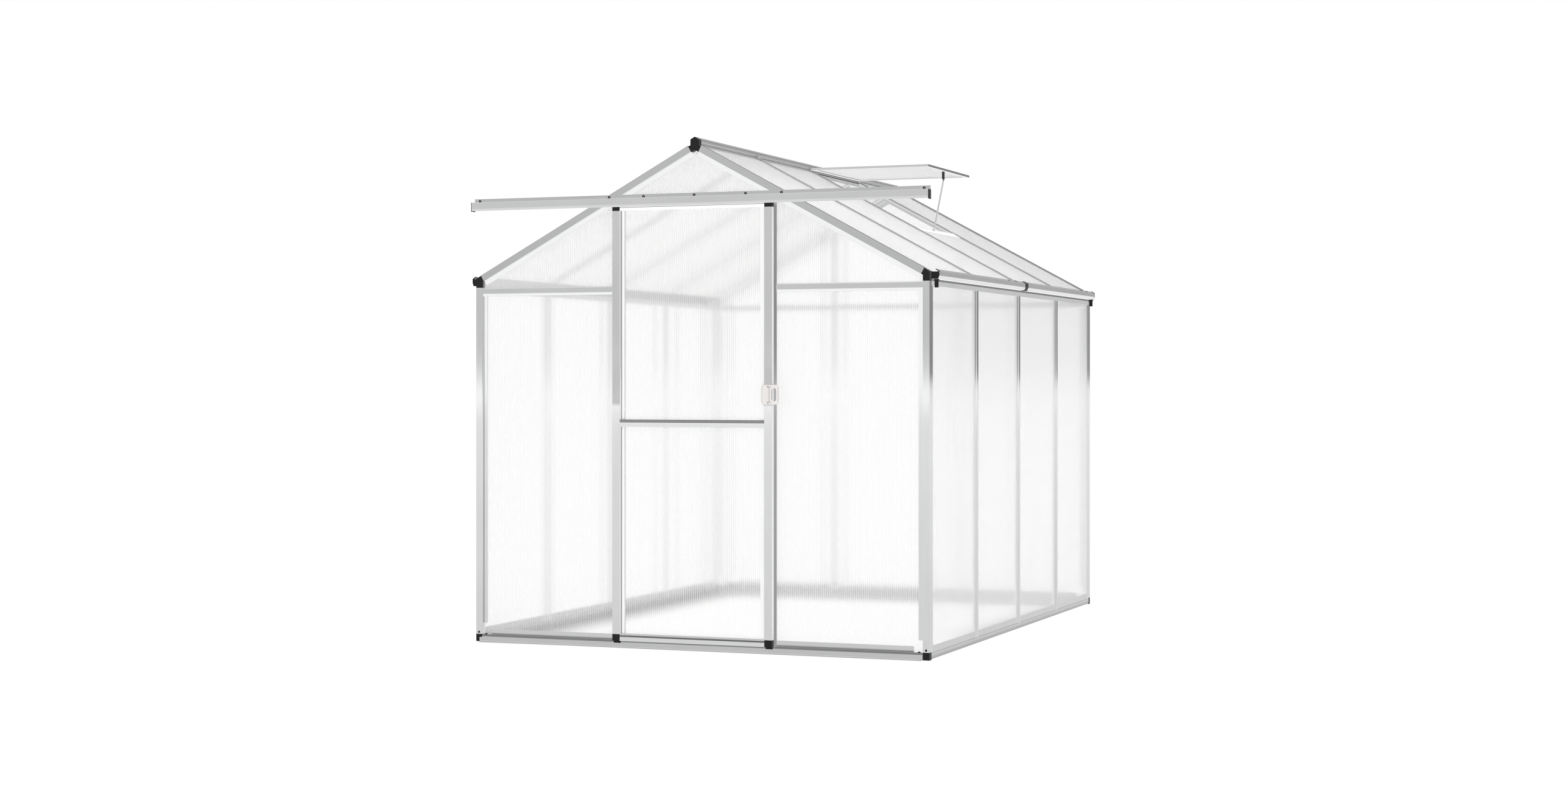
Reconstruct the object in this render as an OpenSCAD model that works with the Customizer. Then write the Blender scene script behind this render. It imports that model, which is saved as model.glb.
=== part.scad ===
// Walk-in greenhouse: an aluminium frame glazed with twin-wall sheet, with a
// sliding door on a full-width track, a propped roof vent and rain gutters.
// X runs across the door gable, Y runs back from it, Z is up.

/* [Building] */
// Width over the corner posts
wall_w = 1900; // [1600:10:2300]
// Length over the corner posts
wall_l = 2472; // [2000:1:3000]
// Height of the roof's top plane at the side walls' outer faces
eaves_h = 1451; // [1430:1:1760]
// Slope of the roof in degrees
roof_pitch = 28.4; // [26:0.1:34]
// Bays along each side wall
side_bays = 4; // [3:1:6]
// Bay that holds the roof vent, counted from the door gable
vent_bay = 3; // [1:1:3]

/* [Sheets] */
// Thickness of the twin-wall sheet
sheet_t = 4; // [3:0.5:6]
// Clearance between a sheet's face and the metal that holds it
sheet_gap = 0.3; // [0.2:0.05:0.5]
// Clearance between a sheet's edge and the bottom of its slot
edge_gap = 1; // [0.6:0.1:1.5]
// Depth of a gable sheet's outer face behind the posts' front faces
wall_glaze = 10.1; // [9:0.1:14]
// Depth of a side sheet's outer face behind the posts' side faces
side_glaze = 3.1; // [2.8:0.1:6]
// Depth of a roof sheet's outer face below the roof's top plane
roof_glaze = 4.6; // [4.6:0.1:8]

/* [Frame profiles] */
// Thickness of lips, flanges and webs
lip_t = 1.8; // [1.4:0.1:2.4]
// Wall thickness of the hollow profiles
tube_t = 1.6; // [1.2:0.1:2.4]
// Width of a corner post across the gable
post_w = 26.3; // [22:0.1:32]
// Depth of a corner post along the side
post_d = 26.3; // [24:0.1:34]
// Reach of a corner post's lips over the sheet
post_lip = 18.6; // [12:0.1:24]
// Width of a glazing bar over its lips
bar_w = 40; // [32:1:48]
// Width of a glazing bar's raised crown
crown_w = 20; // [12:1:26]
// Height of the crown above the bar's lips
crown_h = 2.5; // [1.5:0.1:2.5]
// Height of the crown of a side wall's bar
side_crown_h = 4.5; // [2:0.1:5]
// Width of a glazing bar's inner flange
bar_inner_w = 30; // [20:1:36]
// Depth of a glazing bar's inner leg
bar_leg = 12; // [8:1:16]
// Depth of a gable rafter's face, square to the roof
rafter_face = 26; // [24:0.5:32]
// Reach of a rafter's lips over the gable sheet
rafter_lip = 18.5; // [12:0.5:22]
// Height of the base rail's outer face
base_face = 28; // [26:0.5:34]
// Height of the base rail's lips above the ground
base_lip_top = 50; // [46:1:60]
// Height of the black base corners
base_corner_h = 29; // [24:1:30]
// Distance from a corner post's outer face to the gable base rail's lips
base_lip_inset = 65.5; // [50:0.5:80]

/* [Ridge and eaves] */
// Half of the ridge beam's width
ridge_half = 17.5; // [15:0.5:22]
// Height of the ridge beam above the roof's apex
ridge_rise = 18.5; // [14:0.5:26]
// Height of the ridge beam's shoulder below its top
ridge_chamfer = 10; // [6:0.5:12]
// Height from the posts' tops to the roof's top plane at the side wall
eaves_drop = 38; // [34:1:44]
// Reach of the eaves beam's lips over the side sheet
eaves_lip = 16.7; // [12:0.1:22]
// Width of the gutter
gutter_w = 30; // [26:1:40]
// Height of the gutter's outer wall
gutter_h = 27.5; // [24:0.5:30]
// Rise of the lip above the outer wall
gutter_lip = 9; // [6:0.5:10]
// Height of the gutter's bottom above the posts' tops
gutter_lift = 7.8; // [5:0.1:10]
// Thickness of the gutter's end plates
gutter_plate_t = 3; // [2:0.1:4]
// Length of the end plates' rims over the gutter's lip
gutter_rim_l = 9; // [6:1:14]
// Distance of an outlet's middle from its end plate's outer face
outlet_in = 15; // [12:0.5:20]
// Outer diameter of a gutter outlet
outlet_d = 15.7; // [12:0.1:20]
// Bore of a gutter outlet
outlet_bore = 12; // [9:0.1:14]
// Length of an outlet below its collar
outlet_l = 25; // [18:1:40]
// Diameter of the outlet's collar
collar_d = 20.6; // [18:0.1:24]
// Height of the outlet's collar
collar_h = 6.5; // [4:0.5:10]

/* [Door] */
// Reach of the door past the middle of the stud on each side
door_lap = 17.85; // [14:0.05:18.5]
// Height of the door's lower edge above the ground
door_bottom = 27.5; // [26:0.5:32]
// Thickness of the door frame
door_d = 19; // [16:0.5:19]
// Clear gap between the door and the posts' outer faces
door_gap = 5; // [5:0.5:8]
// Distance of the closed door's centre from the middle, towards the left
door_shift = 4; // [0:1:8]
// Width of a door stile
stile_w = 31.7; // [26:0.1:36]
// Reach of a stile's lips over the door sheet
stile_lip = 18; // [12:1:22]
// Height of a door rail's face
rail_face = 16; // [12:1:20]
// Reach of a rail's lip over the sheet above it
rail_lip = 12.5; // [9:0.5:16]
// Height of the middle rail's lower edge
mid_rail_z = 862; // [700:1:1000]
// Height of the visible part of the upper end caps
top_cap_h = 18.3; // [18:0.1:26]
// Height of the lower end caps
bottom_cap_h = 26; // [20:0.5:32]

/* [Door track] */
// Reach of the door track past each corner post
track_over = 4; // [0:1:10]
// Projection of the track from the gable
track_d = 31; // [30:0.5:36]
// Height from the track's lower edge to the roof's top plane above the studs
track_drop = 75.4; // [74:0.1:80]
// Height of the track's channel
track_h = 34; // [32:0.5:38]
// Height of the bolted strip above the channel
track_strip = 15; // [13:0.5:20]
// Radius of a door roller
roller_r = 7.6; // [6:0.1:7.6]
// Distance from each corner post's outer face to the floor guide
guide_inset = 28; // [27:1:60]
// Projection of the floor guide
guide_d = 24; // [22:0.5:26]
// Height of the floor guide
guide_h = 19.6; // [16:0.1:21]

/* [Handle] */
// Height of the handle
handle_h = 77; // [60:1:90]
// Height of the handle's middle above the ground
handle_z = 988; // [930:1:1100]
// Width of the fixed plate up to the hinge pin
handle_plate_w = 34; // [30:0.5:36]
// Reach of the plate past the stile's inner edge
handle_overhang = 8.5; // [4:0.5:12]
// Width of the hinged pull from the pin
handle_pull_w = 35; // [30:0.5:38]
// Thickness of the handle's plate and pull
handle_t = 2.6; // [2:0.1:3.2]
// Height of the ears that hold the pin
handle_ear_h = 10.5; // [8:0.5:13]
// Half of the oval opening's width
handle_oval_r = 9.5; // [7:0.5:10]
// Radius of the hinge pin
handle_pin_r = 1.5; // [1.2:0.1:2]

/* [Roof vent] */
// Length of the vent from its hinge to its outer edge
vent_len = 532; // [420:1:600]
// Clear gap on each side of the vent to the middle of the roof bars
vent_side = 5; // [4:0.5:10]
// Thickness of the vent frame
vent_t = 9.5; // [9:0.5:12]
// Width of the vent frame's members
vent_member = 20; // [16:1:26]
// Lap of the closed vent over its sill
vent_lap = 1.5; // [1:0.5:6]
// Width of the sill
sill_w = 34; // [26:1:44]

/* [Hidden] */

$fn = 48;

// Colours
metal = "#c3c5c6";
plastic = "#242526";
sheet = "#f2f3f1";
pale_metal = "#e9e6e2";

// Small running and seating clearance between pieces of one body
seat = 0.3;
// Running clearance around the handle's hinge pin
pin_gap = 0.08;
// Overshoot of cutting shapes
cut = 1;

half_w = wall_w / 2;
apex_z = eaves_h + half_w * tan(roof_pitch);
post_top = eaves_h - eaves_drop;
bay_l = wall_l / side_bays;
stud_x = wall_w / 6;

// Where the sheets' slots lie, measured inwards from a wall's outer face
slot_in = wall_glaze + sheet_t + sheet_gap;
slot_out = wall_glaze - sheet_gap;
side_slot_in = side_glaze + sheet_t + sheet_gap;
side_slot_out = side_glaze - sheet_gap;

// The same slots below the roof's top plane
roof_slot_out = roof_glaze - sheet_gap;
roof_slot_in = roof_glaze + sheet_t + sheet_gap;

// Where rafters, bars and ridge meet, measured down the slope
ridge_seat = 32.6;
roof_start = ridge_seat + 0.4;
eaves_seat = (half_w - post_w + 4.5) / cos(roof_pitch) + 0.6;
sheet_top_s = (ridge_half + roof_slot_in * sin(roof_pitch)) / cos(roof_pitch) + edge_gap;
sheet_end_s = (half_w + 4) / cos(roof_pitch);
inner_end_s = (half_w - post_d - 2) / cos(roof_pitch);

// The track or the handle's pull stands furthest out, which sets the length
door_front = -(door_gap + door_d);
handle_out = 2 * seat + handle_t + 2 * (handle_pin_r + 1.6);
front_reach = max(track_d, handle_out - door_front);
y_shift = -(wall_l - front_reach) / 2;

sill_z = 26;
// The base rails' feet reach in as far as the posts
base_foot = post_d - seat;
bar_start = base_face + seat;
lip_start = 74;
transom_bottom = post_top - 34;
transom_web = transom_bottom + 17;
bar_positions = [for (i = [1:side_bays - 1]) i * bay_l];
vent_y0 = (vent_bay - 1) * bay_l + vent_side;
vent_y1 = vent_bay * bay_l - vent_side;

// Height of a line parallel to the roof, n above its top plane, at distance x from the middle
function roof_z(x, n = 0) = apex_z + n / cos(roof_pitch) - abs(x) * tan(roof_pitch);

// The door's track hangs below the roof where the roof passes the studs
track_bottom = roof_z(stud_x) - track_drop;
track_top = track_bottom + track_h;
track_l = wall_w + 2 * track_over;
guide_l = wall_w - 2 * guide_inset;
header_z = track_bottom + 18;
ledge_z = track_bottom + 9;
ledge_t = 2;

// ---------- placing ----------

// From the wall frame, with the gable's outer face at y = 0, to the part's own frame
module placed() {
    translate([0, y_shift, 0]) children();
}

module mirrored_x() {
    children();
    mirror([1, 0, 0]) children();
}

module at_rear() {
    translate([0, wall_l, 0]) mirror([0, 1, 0]) children();
}

// Section drawn as [depth, height], run along X
module run_x(x0, x1) {
    translate([x0, 0, 0]) rotate([90, 0, 90]) linear_extrude(x1 - x0) children();
}

// Section drawn as [depth, height] at the left wall, run along Y
module run_y(y0, y1) {
    translate([-half_w, y1, 0]) rotate([90, 0, 0]) linear_extrude(y1 - y0) children();
}

// Outline drawn as [x, z], run back from y0 to y1
module gable_plate(y0, y1) {
    translate([0, y1, 0]) rotate([90, 0, 0]) linear_extrude(y1 - y0) children();
}

// Right roof slope: x runs down the slope from the apex, z is square to the roof
module on_roof() {
    translate([0, 0, apex_z]) rotate([0, roof_pitch, 0]) children();
}

// Section drawn as [y, height above the top plane], run down the slope
module run_s(s0, s1) {
    translate([s0, 0, 0]) rotate([90, 0, 90]) linear_extrude(s1 - s0) children();
}

// Everything below a plane n above the roof's top plane, as an [x, z] outline
module under_roof(n) {
    polygon([[-half_w, 0], [half_w, 0], [half_w, roof_z(half_w, n)],
        [0, roof_z(0, n)], [-half_w, roof_z(half_w, n)]]);
}

module box2(x0, x1, y0, y1) {
    translate([x0, y0]) square([x1 - x0, y1 - y0]);
}

module hollow_box2(x0, x1, y0, y1, t) {
    difference() {
        box2(x0, x1, y0, y1);
        box2(x0 + t, x1 - t, y0 + t, y1 - t);
    }
}

// ---------- sections ----------

// Glazing bar seen on end: x across, y outwards from the sheet's outer face
module bar_cap_section(crown) {
    box2(-bar_w / 2, bar_w / 2, sheet_gap, sheet_gap + lip_t);
    box2(-crown_w / 2, crown_w / 2, sheet_gap + lip_t, sheet_gap + lip_t + crown);
    box2(-lip_t / 2, lip_t / 2, -sheet_t - sheet_gap, sheet_gap);
}

module bar_leg_section() {
    inner = -sheet_t - sheet_gap;
    box2(-bar_inner_w / 2, bar_inner_w / 2, inner - lip_t, inner);
    box2(-lip_t / 2, lip_t / 2, inner - lip_t - bar_leg, inner - lip_t);
}

module bar_section(crown = crown_h) {
    bar_cap_section(crown);
    bar_leg_section();
}

// Pair of lips in front of and behind a gable sheet, reaching from a to b
module lips_section(a, b) {
    box2(slot_out - lip_t, slot_out, a, b);
    box2(slot_in, slot_in + lip_t, a, b);
}

// The same for a side sheet
module side_lips_section(a, b) {
    box2(side_slot_out - lip_t, side_slot_out, a, b);
    box2(side_slot_in, side_slot_in + lip_t, a, b);
}

module base_section() {
    difference() {
        polygon([[slot_out, 0], [5, 0], [0, 5], [0, base_face - 8], [2, base_face - 6],
            [2, base_face], [slot_out, base_face]]);
        box2(tube_t + 2, slot_out - lip_t, lip_t + 2, base_face - lip_t);
        for (i = [0:1])
            box2(1, 3, base_face - 4.6 + i * 2.2, base_face - 3.6 + i * 2.2);
    }
    box2(slot_out - lip_t, base_foot, 0, lip_t);
    box2(slot_in, slot_in + lip_t, 0, sill_z);
    box2(slot_out - lip_t, slot_in + lip_t, sill_z - lip_t, sill_z);
}

module side_base_section() {
    difference() {
        polygon([[slot_out, 0], [8, 0], [3.5, 1.6], [1, 5], [0, 10], [0, sill_z], [slot_out, sill_z]]);
        polygon([[slot_out - lip_t, lip_t], [6.6, lip_t], [4.4, 3.4], [2.6, 6], [tube_t, 10.4],
            [tube_t, sill_z - lip_t], [slot_out - lip_t, sill_z - lip_t]]);
    }
    box2(slot_out - lip_t, base_foot, 0, lip_t);
}

module transom_section() {
    hollow_box2(2, slot_out, transom_bottom + 10, transom_bottom + 28, tube_t);
    box2(slot_out - lip_t, slot_out, transom_bottom, transom_bottom + 11);
    box2(slot_out - lip_t, slot_in + lip_t, transom_web, transom_web + lip_t);
    box2(slot_in, slot_in + lip_t, transom_bottom + 5, transom_bottom + 33);
}

module header_section() {
    box2(0, lip_t, header_z - 6, header_z + 31);
    box2(0, slot_in + lip_t, header_z, header_z + lip_t);
    lips_section(header_z, header_z + 16);
}

module eaves_section() {
    top_n = -roof_slot_in - seat;
    difference() {
        polygon([[0, post_top], [post_d, post_top], [post_d, roof_z(half_w - post_d, top_n)],
            [0, roof_z(half_w, top_n)]]);
        polygon([[tube_t, post_top + tube_t], [post_d - tube_t, post_top + tube_t],
            [post_d - tube_t, roof_z(half_w - post_d + tube_t, top_n - lip_t)],
            [tube_t, roof_z(half_w - tube_t, top_n - lip_t)]]);
    }
    side_lips_section(post_top - eaves_lip, post_top + 1);
}

// Gutter seen on end, at the left wall: its inner wall lies on the eaves beam
gutter_z = post_top + gutter_lift;
gutter_top = gutter_z + gutter_h;
gutter_lip_x = -gutter_w + 14;
module gutter_outline() {
    polygon([[0, gutter_z], [-gutter_w + 5, gutter_z], [-gutter_w, gutter_z + 12],
        [-gutter_w, gutter_top], [gutter_lip_x, gutter_top + gutter_lip],
        [0, gutter_top + gutter_lip]]);
}

module gutter_space() {
    polygon([[-tube_t, gutter_z + tube_t], [-gutter_w + 6, gutter_z + tube_t],
        [-gutter_w + tube_t, gutter_z + 12.3], [-gutter_w + tube_t, gutter_top - 0.9],
        [gutter_lip_x + 0.9, gutter_top + gutter_lip - 1.4],
        [gutter_lip_x + 0.9, gutter_top + gutter_lip + cut],
        [-tube_t, gutter_top + gutter_lip + cut]]);
}

// Room above the gutter's inner wall for the roof's lower edge
module eaves_room() {
    box2(-6, cut, gutter_z + 16, gutter_top + gutter_lip + cut);
}

module gutter_section() {
    difference() {
        gutter_outline();
        gutter_space();
        eaves_room();
    }
}

module ridge_outline() {
    top = apex_z + ridge_rise;
    shoulder = top - ridge_chamfer;
    polygon([[0, top], [ridge_half, shoulder], [ridge_half, roof_z(ridge_half)],
        [-ridge_half, roof_z(ridge_half)], [-ridge_half, shoulder]]);
}

// Point on the right slope, s down the slope and n above it, as [x, z]
function slope_point(s, n) = [s * cos(roof_pitch) + n * sin(roof_pitch),
    apex_z - s * sin(roof_pitch) + n * cos(roof_pitch)];

// ---------- base ----------

module base_rail_front() {
    color(metal) placed() {
        run_x(-half_w + post_w, half_w - post_w) base_section();
        mirrored_x() run_x(-half_w + base_lip_inset, -stud_x - bar_w / 2 - seat)
            lips_section(sill_z - lip_t, base_lip_top);
    }
}

module base_rail_rear() {
    color(metal) placed() at_rear() difference() {
        union() {
            run_x(-half_w + post_w, half_w - post_w) base_section();
            run_x(-half_w + base_lip_inset, half_w - base_lip_inset)
                lips_section(sill_z - lip_t, base_lip_top);
        }
        mirrored_x() bar_notch(stud_x);
    }
}

// Room for a wall bar through the base rail's lips, at x
module bar_notch(x) {
    translate([x - bar_w / 2 - seat, slot_out - lip_t - cut, base_face])
        cube([bar_w + 2 * seat, slot_in - slot_out + 2 * lip_t + 2 * cut, base_lip_top]);
}

module side_base_rails() {
    lip_end = post_d + post_lip + seat;
    color(metal) placed() mirrored_x() {
        run_y(post_d, wall_l - post_d) side_base_section();
        difference() {
            run_y(lip_end, wall_l - lip_end) side_lips_section(sill_z - lip_t, base_lip_top);
            for (y = bar_positions)
                translate([-half_w, y - bar_w / 2 - seat, sill_z])
                    cube([slot_in, bar_w + 2 * seat, base_lip_top]);
        }
    }
}

module base_corner() {
    translate([-half_w, 0, 0]) cube([post_w - seat, post_d - seat, base_corner_h]);
}

module base_corners() {
    color(plastic) placed() mirrored_x() {
        base_corner();
        at_rear() base_corner();
    }
}

module floor_guide() {
    color(metal) placed() run_x(-guide_l / 2, guide_l / 2) difference() {
        polygon([[0, 0], [-guide_d + 4, 0], [-guide_d, 6], [-guide_d, guide_h],
            [0, guide_h]]);
        polygon([[-lip_t, lip_t], [-guide_d + 5, lip_t], [-guide_d + lip_t, 7],
            [-guide_d + lip_t, guide_h + cut], [-lip_t, guide_h + cut]]);
    }
}

// ---------- walls ----------

module corner_post() {
    translate([-half_w, 0, base_corner_h + seat])
        linear_extrude(post_top - seat - base_corner_h - seat)
            hollow_box2(0, post_w, 0, post_d, tube_t);
    // lips over the gable sheet
    translate([-half_w, 0, lip_start]) linear_extrude(transom_bottom - seat - lip_start) {
        box2(post_w, post_w + post_lip, slot_out - lip_t, slot_out);
        box2(post_w, post_w + post_lip, slot_in, slot_in + lip_t);
    }
    // lips over the side sheet
    translate([-half_w, 0, sill_z + seat])
        linear_extrude(post_top - eaves_lip - sill_z - 2 * seat) {
            box2(side_slot_out - lip_t, side_slot_out, post_d, post_d + post_lip);
            box2(side_slot_in, side_slot_in + lip_t, post_d, post_d + post_lip);
        }
}

module corner_posts_front() {
    color(metal) placed() mirrored_x() corner_post();
}

module corner_posts_rear() {
    color(metal) placed() at_rear() mirrored_x() corner_post();
}

// Wall bar at the left wall, centred on y
module side_bar(y) {
    translate([-half_w + side_glaze, y, sill_z + seat])
        linear_extrude(post_top - eaves_lip - sill_z - 2 * seat)
            rotate(90) bar_section(side_crown_h);
}

module side_bars_left() {
    color(metal) placed() for (y = bar_positions) side_bar(y);
}

module side_bars_right() {
    color(metal) placed() mirror([1, 0, 0]) for (y = bar_positions) side_bar(y);
}

module gable_studs() {
    intersection() {
        mirrored_x() translate([stud_x, wall_glaze, bar_start])
            linear_extrude(apex_z) rotate(180) bar_section();
        gable_plate(-cut, base_foot + bar_leg)
            under_roof(-rafter_face - rafter_lip - seat);
    }
}

module front_studs() {
    color(metal) placed() gable_studs();
}

module rear_studs() {
    color(metal) placed() at_rear() gable_studs();
}

module side_transoms() {
    mirrored_x()
        run_x(-half_w + post_w + seat, -stud_x - bar_w / 2 - seat) transom_section();
}

module gable_transoms() {
    color(metal) placed() {
        side_transoms();
        at_rear() {
            side_transoms();
            run_x(-stud_x + bar_w / 2 + seat, stud_x - bar_w / 2 - seat) transom_section();
        }
    }
}

module door_header() {
    color(metal) placed()
        run_x(-stud_x + bar_w / 2 + seat, stud_x - bar_w / 2 - seat) header_section();
}

// ---------- eaves and gutters ----------

module eaves_beams() {
    color(metal) placed() mirrored_x()
        run_y(post_d + seat, wall_l - post_d - seat) eaves_section();
}

// Corner where post, rafter, eaves beam and gutter meet
module eaves_corner() {
    upper = slope_point(eaves_seat + 0.4, -1);
    lower = slope_point(eaves_seat + 0.4, -rafter_face);
    inner_x = half_w - post_w;
    gable_plate(0, post_d)
        polygon([upper, [half_w, roof_z(half_w, -2)], [half_w, post_top + seat],
            [inner_x, post_top + seat], [inner_x, roof_z(inner_x, -rafter_face)], lower]);
}

module eaves_corners() {
    color(plastic) placed() mirrored_x() {
        eaves_corner();
        at_rear() eaves_corner();
    }
}

gutter_y0 = post_d - 1.4;
gutter_y1 = gutter_y0 + gutter_plate_t + seat;
joint_y = wall_l / 2 + 15;
outlet_y = gutter_y0 + outlet_in;

module gutter_run(outlets) {
    difference() {
        union() {
            run_y(gutter_y1, joint_y - 2) gutter_section();
            run_y(joint_y + 2, wall_l - gutter_y1) gutter_section();
        }
        for (y = outlets)
            translate([-half_w - gutter_w / 2, y, gutter_z - cut])
                cylinder(d = outlet_bore, h = tube_t + 2 * cut);
    }
}

module gutter_left() {
    color(metal) placed() gutter_run([wall_l - outlet_y]);
}

module gutter_right() {
    color(metal) placed() mirror([1, 0, 0]) gutter_run([outlet_y, wall_l - outlet_y]);
}

// Plate at a gutter's end, with a rim that runs on over the gutter's lip
module gutter_end_cap() {
    rim = [[-gutter_w, gutter_top + 0.4], [-gutter_w, gutter_top + 2],
        [gutter_lip_x - 0.8, gutter_top + gutter_lip + 1.9],
        [gutter_lip_x, gutter_top + gutter_lip + 0.4]];
    difference() {
        run_y(gutter_y0, gutter_y0 + gutter_plate_t)
            polygon([[0, gutter_z], [-gutter_w + 5, gutter_z], [-gutter_w, gutter_z + 12],
                rim[1], rim[2], rim[3], [-gutter_w + 2.6, gutter_top], [0, gutter_top]]);
        run_y(post_d - seat, gutter_y0 + gutter_plate_t + cut) eaves_room();
    }
    run_y(gutter_y0 + 1, gutter_y0 + gutter_plate_t + gutter_rim_l) polygon(rim);
}

// Hose outlet below the gutter
module outlet() {
    collar_top = gutter_z - seat;
    translate([-half_w - gutter_w / 2, outlet_y, 0]) difference() {
        union() {
            translate([0, 0, collar_top - collar_h]) cylinder(d = collar_d, h = collar_h);
            translate([0, 0, collar_top - collar_h - outlet_l])
                cylinder(d = outlet_d, h = outlet_l + cut);
        }
        translate([0, 0, collar_top - collar_h - outlet_l - cut])
            cylinder(d = outlet_bore, h = outlet_l + collar_h + 2 * cut);
    }
}

// Strap that joins the two lengths of a gutter
module gutter_joint() {
    difference() {
        run_y(joint_y - 2 + seat, joint_y + 2 - seat) gutter_outline();
        run_y(joint_y - 3, joint_y + 3) gutter_space();
        run_y(joint_y - 3, joint_y + 3) eaves_room();
    }
}

module gutter_fittings() {
    color(plastic) placed() mirrored_x() {
        gutter_end_cap();
        gutter_joint();
        at_rear() gutter_end_cap();
    }
}

module gutter_outlets() {
    color(plastic) placed() {
        mirror([1, 0, 0]) outlet();
        mirrored_x() at_rear() outlet();
    }
}

// ---------- roof frame ----------

module rafter() {
    on_roof() {
        run_s(roof_start, eaves_seat)
            hollow_box2(0, post_d, -rafter_face, 0, tube_t);
        // lips over the roof sheet
        run_s(roof_start, sheet_end_s)
            box2(post_d, post_d + post_lip, -roof_slot_out, lip_t - roof_slot_out);
        run_s(roof_start, inner_end_s)
            box2(post_d, post_d + post_lip, -roof_slot_in - lip_t, -roof_slot_in);
        // lips over the gable sheet
        run_s(roof_start, eaves_seat) {
            box2(slot_out - lip_t, slot_out, -rafter_face - rafter_lip, -rafter_face);
            box2(slot_in, slot_in + lip_t, -rafter_face - rafter_lip, -rafter_face);
        }
    }
}

module rafters_front() {
    color(metal) placed() mirrored_x() rafter();
}

module rafters_rear() {
    color(metal) placed() at_rear() mirrored_x() rafter();
}

// Hollow of the ridge beam
module ridge_space() {
    wall = ridge_half - 4;
    top = apex_z + ridge_rise - 2 * tube_t;
    polygon([[0, top], [wall, top - ridge_chamfer], [wall, roof_z(ridge_half) + tube_t],
        [-wall, roof_z(ridge_half) + tube_t], [-wall, top - ridge_chamfer]]);
}

module ridge_flanges() {
    translate([0, apex_z]) rotate(-roof_pitch) {
        box2(0, ridge_seat - seat, -roof_slot_out, lip_t - roof_slot_out);
        box2(8, ridge_seat - seat, -roof_slot_in - lip_t, -roof_slot_in);
    }
}

module ridge_beam() {
    y0 = post_d + seat;
    y1 = wall_l - post_d - seat;
    foot = slope_point(8, -roof_slot_in - lip_t);
    color(metal) placed() {
        difference() {
            gable_plate(y0, y1) ridge_outline();
            gable_plate(y0 - cut, y1 + cut) ridge_space();
            // grooves along the ridge's sides
            mirrored_x() for (z = [16, 24])
                gable_plate(y0 - cut, y1 + cut)
                    box2(ridge_half - 2, ridge_half + cut, apex_z + ridge_rise - z - 3,
                        apex_z + ridge_rise - z);
        }
        mirrored_x() gable_plate(y0, y1) ridge_flanges();
        gable_plate(y0, y1)
            box2(-foot[0] - lip_t, foot[0] + lip_t, foot[1] - 1, roof_z(ridge_half) + 1);
    }
}

module ridge_cap() {
    tip = slope_point(ridge_seat, -3.6);
    foot = slope_point(ridge_seat, -rafter_face - 2);
    top = apex_z + ridge_rise;
    gable_plate(0, post_d)
        polygon([[0, top], [ridge_half, top - ridge_chamfer],
            [ridge_half, roof_z(ridge_half, -4)], tip, foot, [0, foot[1] + foot[0] / 2],
            [-foot[0], foot[1]], [-tip[0], tip[1]], [-ridge_half, roof_z(ridge_half, -4)],
            [-ridge_half, top - ridge_chamfer]]);
}

module ridge_end_caps() {
    color(plastic) placed() {
        ridge_cap();
        at_rear() ridge_cap();
    }
}

module roof_bar(y) {
    on_roof() translate([0, y, -roof_glaze]) {
        run_s(roof_start, sheet_end_s) bar_cap_section(crown_h);
        run_s(roof_start, inner_end_s) bar_leg_section();
    }
}

module roof_bars_left() {
    color(metal) placed() mirror([1, 0, 0]) for (y = bar_positions) roof_bar(y);
}

module roof_bars_right() {
    color(metal) placed() for (y = bar_positions) roof_bar(y);
}

// ---------- roof vent ----------

vent_x0 = ridge_half + 0.5;
vent_x1 = vent_x0 + vent_len;
sill_s = vent_x0 / cos(roof_pitch) + vent_len - vent_lap;
vent_z0 = apex_z - vent_t;
vent_mid_y = (vent_y0 + vent_y1) / 2;
sill_y0 = (vent_bay - 1) * bay_l + bar_w / 2 + seat;
sill_y1 = vent_bay * bay_l - bar_w / 2 - seat;

module vent_sill() {
    color(metal) placed() on_roof() translate([0, sill_y0, 0]) {
        translate([sill_s, 0, -roof_slot_out]) cube([sill_w, sill_y1 - sill_y0, lip_t]);
        translate([sill_s, 0, -roof_slot_in - 8])
            cube([lip_t, sill_y1 - sill_y0, roof_slot_in + 8.7]);
        translate([sill_s, 0, -roof_slot_in - lip_t]) cube([sill_w - 8, sill_y1 - sill_y0, lip_t]);
    }
}

module vent_frame() {
    slot = sheet_t + 2 * sheet_gap;
    color(metal) placed() difference() {
        translate([vent_x0, vent_y0, vent_z0])
            cube([vent_len, vent_y1 - vent_y0, vent_t]);
        translate([vent_x0 + vent_member, vent_y0 + vent_member, vent_z0 - cut])
            cube([vent_len - 2 * vent_member, vent_y1 - vent_y0 - 2 * vent_member,
                vent_t + 2 * cut]);
        translate([vent_x0 + vent_member / 2, vent_y0 + vent_member / 2,
                vent_z0 + (vent_t - slot) / 2])
            cube([vent_len - vent_member, vent_y1 - vent_y0 - vent_member, slot]);
    }
}

module vent_sheet() {
    inset = vent_member / 2 + edge_gap;
    color(sheet) placed()
        translate([vent_x0 + inset, vent_y0 + inset, vent_z0 + (vent_t - sheet_t) / 2])
            cube([vent_len - 2 * inset, vent_y1 - vent_y0 - 2 * inset, sheet_t]);
}

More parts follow.
